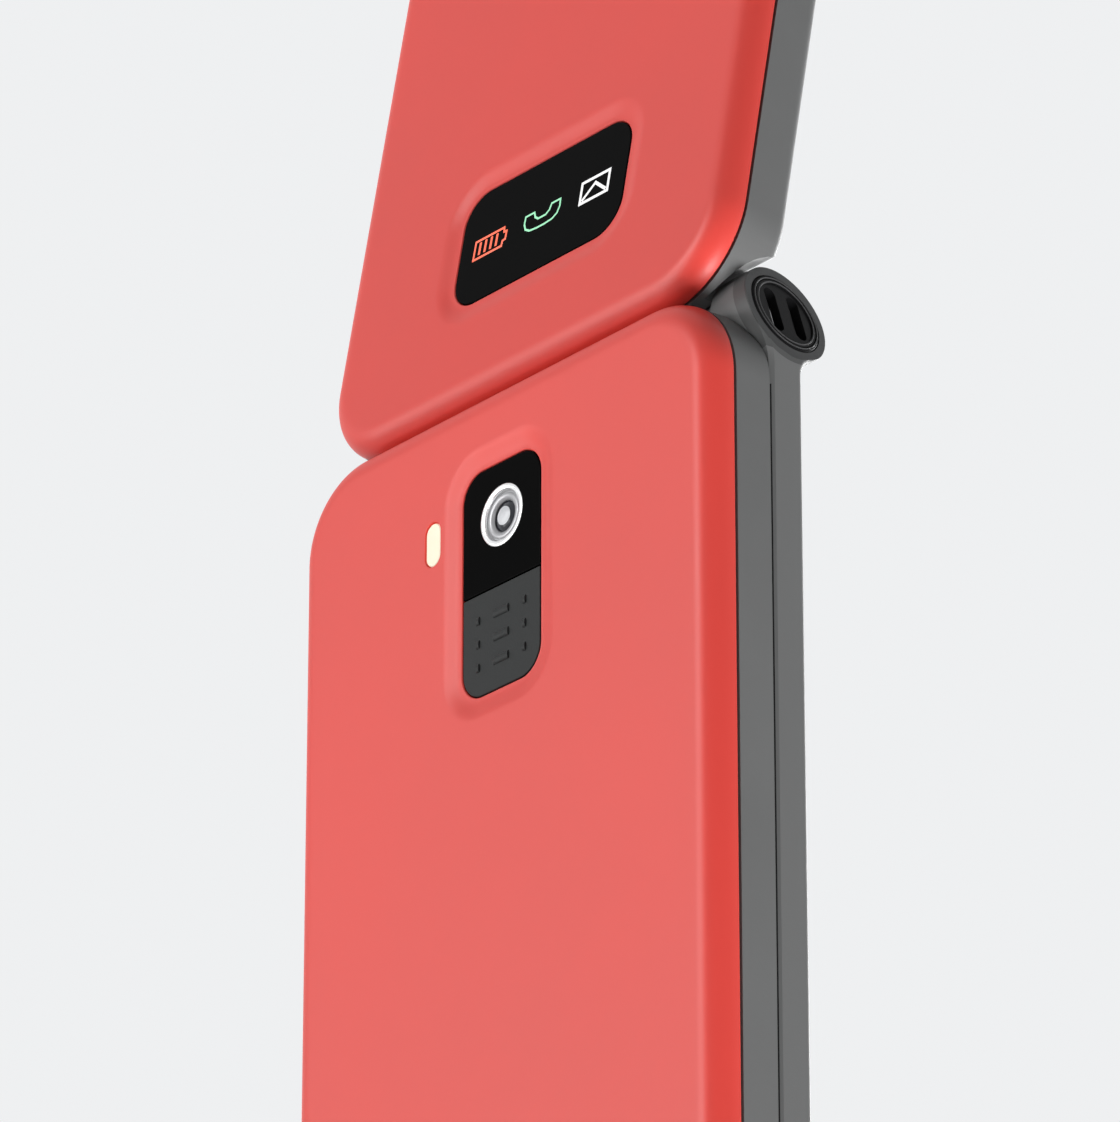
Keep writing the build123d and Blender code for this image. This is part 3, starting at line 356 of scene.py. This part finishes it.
# Another colour where a test gives one, over what the material had until then
def paintWhere(material, test, color):
    tree = material.node_tree
    shader = tree.nodes["Principled BSDF"]
    paint = tree.nodes.new("ShaderNodeMix")
    paint.data_type = "RGBA"
    paint.inputs["A"].default_value = shader.inputs["Base Color"].default_value
    for link in list(shader.inputs["Base Color"].links):
        tree.links.new(link.from_socket, paint.inputs["A"])
    paint.inputs["B"].default_value = (*color, 1)
    tree.links.new(test, paint.inputs["Factor"])
    tree.links.new(paint.outputs["Result"], shader.inputs["Base Color"])


# The front housing's grey. Painted shade: the seam below the ears, between two depths of y, is coloured
# black as the shade in the gap between the housings. The ears' ends are darker, in two tones: each reaches
# so far in from the end face, where |x|, y and z times the face's normal add up to its distance, and so far
# round the hinge axis
darkPlaces = {
    "seam": (-1.7, -1.3), "seamTop": 94.0, "paintedSeamShade": (0.003, 0.003, 0.003),
    "earTones": [
        {"in": 1.45, "round": 5.1, "color": (0.088, 0.09, 0.09)},
        {"in": 0.12, "round": 4.66, "color": (0.05, 0.051, 0.052)},
    ],
}
tree = seamShadeGrey.node_tree
place = tree.nodes.new("ShaderNodeTexCoord")
split = tree.nodes.new("ShaderNodeSeparateXYZ")
tree.links.new(place.outputs["Object"], split.inputs["Vector"])
x, y, z = split.outputs
# Painted shade: the seam's depth below the ears coloured black, as the shade in the gap between the
# housings
seamLow, seamHigh = darkPlaces["seam"]
inSeam = number(tree, "MULTIPLY", number(tree, "GREATER_THAN", y, seamLow * mm),
                number(tree, "LESS_THAN", y, seamHigh * mm))
belowEar = number(tree, "LESS_THAN", z, darkPlaces["seamTop"] * mm)
paintWhere(seamShadeGrey, number(tree, "MULTIPLY", inSeam, belowEar), darkPlaces["paintedSeamShade"])

join = tree.nodes.new("ShaderNodeCombineXYZ")
for socket, value in zip(join.inputs, (number(tree, "ABSOLUTE", x), y, z)):
    tree.links.new(value, socket)
mirrored = join.outputs["Vector"]
earCentre = (ear["x"], hingeY, hingeZ)
earFace = float(np.dot(ear["normal"], earCentre))
outwards = workOut(tree, "ShaderNodeVectorMath", "DOT_PRODUCT", mirrored, ear["normal"])["Value"]
apart = workOut(tree, "ShaderNodeVectorMath", "DISTANCE", mirrored, [v * mm for v in earCentre])["Value"]
for tone in darkPlaces["earTones"]:
    nearFace = number(tree, "GREATER_THAN", outwards, (earFace - tone["in"]) * mm)
    nearAxis = number(tree, "LESS_THAN", apart, tone["round"] * mm)
    paintWhere(seamShadeGrey, number(tree, "MULTIPLY", nearFace, nearAxis), tone["color"])

# The finish of each of the record's materials
finishOf = {
    "cover_red": softRed, "housing_grey": mouldedGrey, "cap_dark": capGrey, "window_black": glossBlack,
    "key_grey": keyGrey, "ring_silver": brightSteel, "lens_glass": lensGlass, "flash_diffuser": creamFlash,
    "black_plastic": plainBlack, "battery_wrap": cellWrap, "contact_metal": goldContact,
    "board_green": greenMask, "plated_steel": tinPlate, "hinge_steel": groundSteel, "clear_film": domeFilm,
    "antenna_film": amberFilm, "display_glass": screenGlass, "display_panel": screenGlass,
    "lamp_white": ledBody, "soft_rubber": softRubber,
}
print("materials made:", len(finishOf))

# Camera at the photograph's angle, from behind, from the right and from below
shot = {"eye": (-455.1, 374.6, -173.2), "aim": (-8.06, 5.0, 82.8), "lens": 249.5, "sensor": 36.0,
        "near": 0.01, "far": 20}


# An object that looks from one place at another, along its own -Z
def addLooker(name, data, eye, aim):
    holder = bpy.data.objects.new(name, data)
    holder.location = eye
    holder.rotation_mode = "QUATERNION"
    holder.rotation_quaternion = (aim - eye).to_track_quat("-Z", "Y")
    bpy.context.scene.collection.objects.link(holder)
    return holder


cameraData = bpy.data.cameras.new("camera")
cameraData.lens = shot["lens"]
cameraData.sensor_width = shot["sensor"]
cameraData.clip_start = shot["near"]
cameraData.clip_end = shot["far"]
camera = addLooker("camera", cameraData, Vector(shot["eye"]) * mm, Vector(shot["aim"]) * mm)
bpy.context.scene.camera = camera
bpy.context.scene.view_settings.view_transform = "Standard"

# Soft boxes round the phone, in metres and watts. Most stand about as high as the phone, so that faces
# that look up stay darker; rightLamp shines up through the floor at the right side
lamps = {
    "backLamp": {"from": (0.6, 1.0, 0.1), "size": 0.8, "power": 7.4},
    "rightLamp": {"from": (-0.65, 0.05, -1.0), "size": 0.5, "power": 17.5},
    "sideLamp": {"from": (-0.85, -0.7, -0.1), "size": 0.5, "power": 1.2},
    "edgeLamp": {"from": (0.36, 0.98, 0.56), "size": 0.22, "power": 2.4},
    "frontLamp": {"from": (0.4, -1.1, 0.15), "size": 0.8, "power": 14.0},
}
middle = Vector((0, 0, 0.1))
for name, lamp in lamps.items():
    light = bpy.data.lights.new(name, "AREA")
    light.size = lamp["size"]
    light.energy = lamp["power"]
    addLooker(name, light, Vector(lamp["from"]), middle)


# One where a ray comes from the camera, a reflection or a lens, and nought for the light itself
def looked(tree):
    ray = tree.nodes.new("ShaderNodeLightPath")
    total = ray.outputs["Is Camera Ray"]
    for kind in ("Is Glossy Ray", "Is Transmission Ray"):
        total = number(tree, "ADD", total, ray.outputs[kind])
        total.node.use_clamp = True
    return total


# One shader that gives way to another as the share goes from nought to one
def blendShaders(tree, share, first, second, output):
    blend = tree.nodes.new("ShaderNodeMixShader")
    for socket, value in zip(blend.inputs, (share, first, second)):
        tree.links.new(value, socket)
    tree.links.new(blend.outputs["Shader"], tree.nodes[output].inputs["Surface"])


# The surroundings: pale where the camera or a lens looks at them; as a lamp they are bright up to the
# horizon and dim above it, as under a dark ceiling. Heights go from 0, straight down, to 1, straight up
studio = {"seen": (0.86, 0.87, 0.88), "lamp": (1.0, 0.985, 0.97),
          "heights": (0.0, 0.2, 0.5, 0.68, 1.0), "strengths": (0.25, 0.3, 0.3, 0.06, 0.04)}
world = bpy.data.worlds.new("studio")
world.use_nodes = True
bpy.context.scene.world = world
tree = world.node_tree
lampShade = tree.nodes["Background"]
lampShade.inputs["Color"].default_value = (*studio["lamp"], 1)
view = tree.nodes.new("ShaderNodeTexCoord")
split = tree.nodes.new("ShaderNodeSeparateXYZ")
tree.links.new(view.outputs["Generated"], split.inputs["Vector"])
height = tree.nodes.new("ShaderNodeMapRange")
height.inputs["From Min"].default_value = -1
height.inputs["From Max"].default_value = 1
tree.links.new(split.outputs["Z"], height.inputs["Value"])
fall = tree.nodes.new("ShaderNodeValToRGB")
while len(fall.color_ramp.elements) < len(studio["heights"]):
    fall.color_ramp.elements.new(0.5)
for element, up, strength in zip(fall.color_ramp.elements, studio["heights"], studio["strengths"]):
    element.position = up
    element.color = (strength, strength, strength, 1)
tree.links.new(height.outputs["Result"], fall.inputs["Fac"])
tree.links.new(fall.outputs["Color"], lampShade.inputs["Strength"])
seenShade = tree.nodes.new("ShaderNodeBackground")
seenShade.inputs["Color"].default_value = (*studio["seen"], 1)
blendShaders(tree, looked(tree), lampShade.outputs["Background"], seenShade.outputs["Background"],
             "World Output")

# A pale floor that shows from above only, because the photograph looks up from below the phone's foot,
# that lets the lamp that stands lower shine through, and that fades into the background further out
floorLook = {"color": (0.62, 0.62, 0.62), "roughness": 0.7, "glowColor": (0.98, 0.99, 1.0), "glow": 0.45,
             "fadeFrom": 0.3, "fadeTo": 0.95, "reach": 4.0}
floorMaterial = bpy.data.materials.new("paleFloor")
floorMaterial.use_nodes = True
tree = floorMaterial.node_tree
shader = tree.nodes["Principled BSDF"]
shader.inputs["Base Color"].default_value = (*floorLook["color"], 1)
shader.inputs["Roughness"].default_value = floorLook["roughness"]
shader.inputs["Emission Color"].default_value = (*floorLook["glowColor"], 1)
glow = number(tree, "MULTIPLY", looked(tree), floorLook["glow"])
tree.links.new(glow, shader.inputs["Emission Strength"])
side = tree.nodes.new("ShaderNodeNewGeometry")
ray = tree.nodes.new("ShaderNodeLightPath")
through = number(tree, "MAXIMUM", side.outputs["Backfacing"], ray.outputs["Is Shadow Ray"])
place = tree.nodes.new("ShaderNodeTexCoord")
away = workOut(tree, "ShaderNodeVectorMath", "LENGTH", place.outputs["Object"])["Value"]
fade = tree.nodes.new("ShaderNodeMapRange")
fade.interpolation_type = "SMOOTHSTEP"
fade.inputs["From Min"].default_value = floorLook["fadeFrom"]
fade.inputs["From Max"].default_value = floorLook["fadeTo"]
tree.links.new(away, fade.inputs["Value"])
fadeSeen = number(tree, "MULTIPLY", fade.outputs["Result"], looked(tree))
clear = tree.nodes.new("ShaderNodeBsdfTransparent")
blendShaders(tree, number(tree, "MAXIMUM", through, fadeSeen), shader.outputs["BSDF"],
             clear.outputs["BSDF"], "Material Output")
reach = floorLook["reach"]
floorMesh = bpy.data.meshes.new("floor")
floorMesh.from_pydata([(-reach, -reach, 0), (reach, -reach, 0), (reach, reach, 0), (-reach, reach, 0)], [],
                      [(0, 1, 2, 3)])
addPiece("floor", floorMesh, floorMaterial)
print("camera, lights and floor set")

# The two red covers: wall, quarter-round edge, flat, then a soft dish whose depth follows the smooth
# step 3t^2 - 2t^3, and back along the inside. window is (x, z, width, height, corner)
batteryCover = {
    "width": 54.0, "length": 102.0, "corner": 8.1, "low": 2.4, "face": 5.0, "edge": 2.4, "wall": 1.0,
    "window": (0.0, 84.54, 10.0, 20.2, 2.5), "flash": (8.6, 89.94, 2.1, 4.1),
    "slots": [(13.6, 7.5 + 2.0 * i, 8.0, 0.9) for i in range(4)], "cutFrom": 3.0, "cutTo": 6.0,
}
lidCover = {
    "width": 52.2, "length": 100.8, "corner": 8.0, "low": 5.88, "face": 8.28, "edge": 2.2, "wall": 1.0,
    "window": (-0.5, 16.08, 22.0, 11.4, 3.0),
}
coverDish = {"from": 2.25, "to": 0.3, "depth": 0.4}    # from and to are margins round the window
coverSoftening = {"foot": 0.1, "face": 0.3, "dish": 0.2, "window": 0.18, "throat": 0.1, "rim": 0.08}
coverSteps = {"edge": 16, "dish": 16, "inside": 8}


def coverRings(form):
    width, length, corner = form["width"], form["length"], form["corner"]
    face, low, edge, wall = form["face"], form["low"], form["edge"], form["wall"]
    x, z, windowWidth, windowHeight, windowCorner = form["window"]
    soft = coverSoftening

    def outline(inset):
        return roundedLoop(0, length / 2, width - 2 * inset, length - 2 * inset, corner - inset)

    def around(margin):
        return roundedLoop(x, z, windowWidth + 2 * margin, windowHeight + 2 * margin, windowCorner + margin)

    rings = [(outline(wall), low), (outline(soft["foot"]), low), (outline(0), low + soft["foot"])]
    for t in np.linspace(0, np.pi / 2, coverSteps["edge"]):
        rings.append((outline(edge * (1 - math.cos(t))), face - edge + edge * math.sin(t)))
    rings += [(outline(edge + soft["face"]), face), (around(coverDish["from"] + soft["dish"]), face)]
    for t in np.linspace(0, 1, coverSteps["dish"]):
        margin = coverDish["from"] * (1 - t) + coverDish["to"] * t
        rings.append((around(margin), face - coverDish["depth"] * t * t * (3 - 2 * t)))
    dishFloor = face - coverDish["depth"]
    inside = face - wall
    rings += [(around(soft["window"]), dishFloor), (around(soft["throat"]), dishFloor - soft["rim"]),
              (around(soft["throat"]), inside)]
    inner = edge - wall
    for t in np.linspace(np.pi / 2, 0, coverSteps["inside"]):
        rings.append((outline(wall + inner * (1 - math.cos(t))), inside - inner + inner * math.sin(t)))
    return rings


baseShell = loft("batteryCoverShell", coverRings(batteryCover), onBase, softRed, "battery_cover")
cutOblongs(baseShell, [batteryCover["flash"]] + batteryCover["slots"], batteryCover["cutFrom"],
           batteryCover["cutTo"], onBase)
standFor("battery_cover")
lidShell = loft("lidCoverShell", coverRings(lidCover), onLid, softRed, "lid")
standFor("lid_cover")

# Three low ribs inside the battery cover, along the cell
coverRib = {"places": (-13.333, 0.0, 13.333), "width": 0.8, "corner": 0.2, "low": 24.5, "high": 66.5,
            "from": 3.75, "to": 4.1}
for i, x in enumerate(coverRib["places"]):
    rib = slab("coverRib" + str(i), x, coverRib, onBase, softRed, "battery_cover")
print("covers made")

# The camera's ring: a bright rolled rim round a dull funnel, each a profile of (radius, depth)
cameraPlace = (0.0, 89.84)
ringRim = [
    (2.22, 3.62), (2.73, 3.62), (2.74, 4.52), (2.72, 4.6), (2.66, 4.645), (2.54, 4.65), (2.4, 4.64),
    (2.3, 4.61), (2.25, 4.52), (2.22, 4.36),
]
ringFunnel = [
    (1.36, 3.62), (2.23, 3.62), (2.23, 4.36), (2.14, 4.3), (2.06, 4.32), (1.98, 4.42), (1.9, 4.46),
    (1.7, 4.46), (1.52, 4.4), (1.42, 4.3), (1.36, 4.22),
]
rim = lathe("ringRim", ringRim, *cameraPlace, brightSteel, "base")
standFor("camera_ring")
funnel = lathe("ringFunnel", ringFunnel, *cameraPlace, satinSteel, "base")

# The lens, a dome cut from a ball, with a pale cap that lies just over it: a painted reflection, the glint
# at the lens's middle
dome = {"radius": 1.33, "ball": 2.4, "top": 4.5, "low": 3.62, "steps": 14}
glint = {"radius": 0.82, "lift": 0.012, "low": 4.3, "steps": 8}
tip = 0.002    # the innermost loop's radius, which closes the dome


# From the radius in to the tip, the depth is the ball's centre plus sqrt(ball^2 - r^2)
def ballProfile(radius, lift, steps):
    centre = dome["top"] + lift - dome["ball"]
    return [(r, centre + math.sqrt(dome["ball"] ** 2 - r * r)) for r in np.linspace(radius, tip, steps)]


lensProfile = [(tip, dome["low"]), (dome["radius"], dome["low"])]
lensProfile += ballProfile(dome["radius"], 0, dome["steps"])
lens = lathe("lensDome", lensProfile, *cameraPlace, lensGlass, "base", closedRows=False)
standFor("camera_lens")
# The painted reflection: a pale cap just over the middle of the lens
glintProfile = [(glint["radius"], glint["low"])]
glintProfile += ballProfile(glint["radius"], glint["lift"], glint["steps"])
glintPiece = lathe("lensGlint", glintProfile, *cameraPlace, lensGlintPaint, "base", closedRows=False)
print("camera made")


# A sign's own flat round (x, depth, z): u to the reader's right, v up, lift out of the face, where
# outwards is 1 on the back and -1 on the keypad
def signPlace(x, depth, z, outwards, carry):
    def put(points):
        u, v, lift = points[..., 0], points[..., 1], points[..., 2]
        return carry(np.stack([x - outwards * u, depth + outwards * lift, z + v], axis=-1))
    return put


# Raised lines: a half-sunk ellipse carried along each path, its corners mitred by one over the
# cosine of half the turn. A path is (points, closed)
leastCosine = 0.4    # keeps the mitre short where a path turns back sharply


def beads(name, paths, width, height, put, material, body, around=10):
    points, faces = [], []
    angle = np.linspace(0, 2 * np.pi, around, endpoint=False)
    start = 0
    for path, closed in paths:
        path = np.asarray(path, float)
        ahead = np.roll(path, -1, axis=0) - path
        if not closed:
            ahead[-1] = ahead[-2]
        ahead /= np.linalg.norm(ahead, axis=1)[:, None]
        behind = np.roll(ahead, 1, axis=0)
        if not closed:
            behind[0] = ahead[0]
        along = ahead + behind
        along /= np.linalg.norm(along, axis=1)[:, None]
        side = np.stack([-along[:, 1], along[:, 0]], axis=-1)
        cosine = np.clip((along * ahead).sum(axis=1), leastCosine, 1)
        reach = side * (width / 2 / cosine)[:, None]
        flat = path[:, None] + reach[:, None] * np.cos(angle)[None, :, None]
        lift = np.repeat(height * np.sin(angle)[None, :, None], len(path), axis=0)
        points.append(put(np.concatenate([flat, lift], axis=-1)).reshape(-1, 3))
        faces += gridQuads(len(path), around, closed, start)
        end = start + len(path) * around
        if not closed:
            faces.append([start + k for k in range(around)][::-1])
            faces.append([end - around + k for k in range(around)])
        start = end
    piece = makePiece(name, np.concatenate(points), faces, material, body, 50)


# Part of an ellipse, angles in degrees
def arcPath(cx, cy, rx, ry, start, end, count=14):
    turn = np.radians(np.linspace(start, end, count))
    return np.stack([cx + rx * np.cos(turn), cy + ry * np.sin(turn)], axis=-1)


def ring(cx, cy, rx, ry, count=28):
    return arcPath(cx, cy, rx, ry, 0, 360, count + 1)[:-1]


# Lit signs in the lid's window, each so many columns from the middle one: a cell with its bars, a
# handset and an envelope
signRow = {"middle": -0.5, "pitch": 6.95, "depth": 7.88, "height": 15.9, "lift": 0.03}
cellSign = {
    "outline": [(-2.1, -0.95), (-2.05, 0.9), (1.75, 0.9), (1.8, 0.45), (2.15, 0.4), (2.1, -0.4),
                (1.75, -0.45), (1.7, -0.95)],
    "bars": [([(u, -0.62), (u + 0.04, 0.62)], False) for u in (-1.4, -0.65, 0.1, 0.85)],
}
handsetSign = [
    (-2.3, 0.75), (-2.35, 0.0), (-2.1, -0.6), (-1.5, -0.95), (-0.5, -1.05), (0.5, -1.05), (1.5, -0.95),
    (2.1, -0.6), (2.35, 0.0), (2.3, 0.75), (1.15, 0.75), (0.95, 0.2), (0.5, -0.12), (-0.5, -0.12),
    (-0.95, 0.2), (-1.15, 0.75),
]
envelopeSign = {
    "outline": [(-1.8, -1.05), (-1.8, 1.05), (1.8, 1.05), (1.8, -1.05)],
    "flap": [(-1.55, -0.8), (0.0, 0.45), (1.55, -0.8)],
}


def litSign(name, column, paths, width, material):
    put = signPlace(signRow["middle"] + column * signRow["pitch"], signRow["depth"], signRow["height"], 1,
                    onLid)
    beads(name, paths, width, signRow["lift"], put, material, "lid")


litSign("batterySign", 1, [(cellSign["outline"], True)], 0.24, litOrange)
litSign("batteryBars", 1, cellSign["bars"], 0.3, litOrange)
litSign("handsetSign", 0, [(handsetSign, True)], 0.2, litMint)
litSign("envelopeSign", -1, [(envelopeSign["outline"], True), (envelopeSign["flap"], False)], 0.3, litWhite)

# The emergency key's raised marks: three short, three long and three short, to be felt in the dark
callMarks = {"face": 4.6, "middle": 79.1, "columns": ((-3.0, 0.18), (0.0, 0.95), (3.0, 0.18)),
             "rows": (-2.1, 0.0, 2.1), "width": 0.75, "lift": 0.16}
marks = [([(u - half, v), (u + half, v)], False)
         for u, half in callMarks["columns"] for v in callMarks["rows"]]
beads("callMarks", marks, callMarks["width"], callMarks["lift"],
      signPlace(0, callMarks["face"], callMarks["middle"], 1, onBase), keyGrey, "sos_key",
      around=16)

# Plain legends on the keys; a digit runs from -0.8 to 0.8 before it is scaled
legend = {"face": -5.25, "lift": 0.02, "digitScale": 2.3, "digitWidth": 0.5}
digitPaths = {
    "0": [(ring(0, 0, 0.45, 0.8), True)],
    "1": [([(-0.25, 0.5), (0.08, 0.8), (0.08, -0.8)], False)],
    "2": [(np.concatenate([arcPath(0, 0.36, 0.45, 0.44, 170, -35), [(-0.45, -0.8), (0.48, -0.8)]]), False)],
    "3": [(np.concatenate([arcPath(-0.02, 0.4, 0.42, 0.4, 150, -80),
                           arcPath(-0.02, -0.4, 0.47, 0.42, 80, -150)]), False)],
    "4": [([(0.2, -0.8), (0.2, 0.8), (-0.5, -0.32), (0.5, -0.32)], False)],
    "5": [(np.concatenate([[(0.42, 0.8), (-0.34, 0.8), (-0.38, 0.12)],
                           arcPath(-0.02, -0.26, 0.46, 0.54, 125, -150)]), False)],
    "6": [(ring(0, -0.33, 0.45, 0.47), True), (arcPath(0.35, -0.33, 0.8, 1.15, 100, 180), False)],
    "7": [([(-0.45, 0.8), (0.45, 0.8), (-0.12, -0.8)], False)],
    "8": [(ring(0, 0.4, 0.37, 0.4), True), (ring(0, -0.4, 0.45, 0.42), True)],
    "9": [(ring(0, 0.33, 0.45, 0.47), True), (arcPath(-0.35, 0.33, 0.8, 1.15, 0, -80), False)],
    "star": [([(-0.45 * math.cos(a), -0.45 * math.sin(a)), (0.45 * math.cos(a), 0.45 * math.sin(a))], False)
             for a in np.radians([30, 90, 150])],
    "hash": [([(-0.2, -0.5), (-0.1, 0.5)], False), ([(0.15, -0.5), (0.25, 0.5)], False),
             ([(-0.42, 0.18), (0.45, 0.18)], False), ([(-0.45, -0.18), (0.42, -0.18)], False)],
}
receiver = {
    "back": [(arcPath(0, -1.3, 2.9, 2.6, 150, 30, 16), False)],
    "ends": [([(s * 2.05, 0.1), (s * 2.6, -0.75)], False) for s in (-1, 1)],
}
softDash = [([(-1.8, 0), (1.8, 0)], False)]
pointers = [([(-1.0, s * 5.6), (0, s * 6.5), (1.0, s * 5.6)], False) for s in (1, -1)]


# A legend in the middle of the key's face, as the key's box gives it
def inkOn(node, name, paths, width, ink):
    low, high = [np.array(v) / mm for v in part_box(node)]
    put = signPlace((low[0] + high[0]) / 2, legend["face"], (low[2] + high[2]) / 2, -1, onBase)
    beads(name, paths, width, legend["lift"], put, ink, node)


for name, paths in digitPaths.items():
    scaled = [(np.asarray(path) * legend["digitScale"], closed) for path, closed in paths]
    inkOn("key_" + name, "legend_" + name, scaled, legend["digitWidth"], legendWhite)
for node, ink in (("call_key", legendGreen), ("end_key", legendRed)):
    inkOn(node, "legend_" + node, receiver["back"], 0.7, ink)
    inkOn(node, "legendEnds_" + node, receiver["ends"], 1.3, ink)
for node in ("soft_key_left", "soft_key_right"):
    inkOn(node, "legend_" + node, softDash, 0.45, legendWhite)
inkOn("nav_key", "legend_nav_key", [(ring(0, 0, 3.1, 3.1, 48), True)] + pointers, 0.4, legendWhite)
print("signs and legends made")

# The ears' caps: two fine raised lips round the slots, in the tilted plane of the ear's face. The ridges
# are real;
# their finish, lighter and glossier than the cap, is a painted highlight along them
capLips = {"lift": 0.1, "radii": (3.5, 3.1), "width": 0.13, "height": 0.05}


def onCap(s):
    out = np.array(ear["normal"]) * (s, 1, 1)
    out /= np.linalg.norm(out)
    across = np.cross(out, (0, 0, 1))
    across /= np.linalg.norm(across)
    upward = np.cross(across, out)
    centre = np.array([s * ear["x"], hingeY, hingeZ]) + capLips["lift"] * out

    def put(points):
        return centre + points[..., :1] * across + points[..., 1:2] * upward + points[..., 2:] * out
    return put


lips = [(ring(0, 0, radius, radius, 72), True) for radius in capLips["radii"]]
for node, s in (("hinge_cap_left", 1), ("hinge_cap_right", -1)):
    beads("lipHighlight_" + node, lips, capLips["width"], capLips["height"], onCap(s), capLipHighlight, bodyOf(node))

# The display's lit area, a dark pane a little proud of its window
displayPane = {"width": 39.6, "corner": 0.5, "low": 25.0, "high": 81.0, "from": 1.48, "to": 1.16}
pane = slab("displayPane", 0, displayPane, onLid, screenPanel, "lid")
print("caps and display made")

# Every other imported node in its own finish, with the edges that show rounded a little
bevelOf = {
    "front_housing": 0.1, "rear_housing": 0.1, "lid_frame": 0.1, "hinge_cap_left": 0.07,
    "hinge_cap_right": 0.07, "camera_window": 0.08, "indicator_window": 0.08, "sos_key": 0.12,
    "flash_lens": 0.15, "display_window": 0.12,
}
keyBevel = 0.1
for node in nodes:
    if node in ("battery_cover", "lid_cover", "camera_ring", "camera_lens"):
        continue
    bevel = bevelOf.get(node, keyBevel if slotOf[node] == "key_grey" else 0.0)
    smoothCopy(node, seamShadeGrey if node == "front_housing" else finishOf[slotOf[node]], bevel)
print("packed nodes dressed")
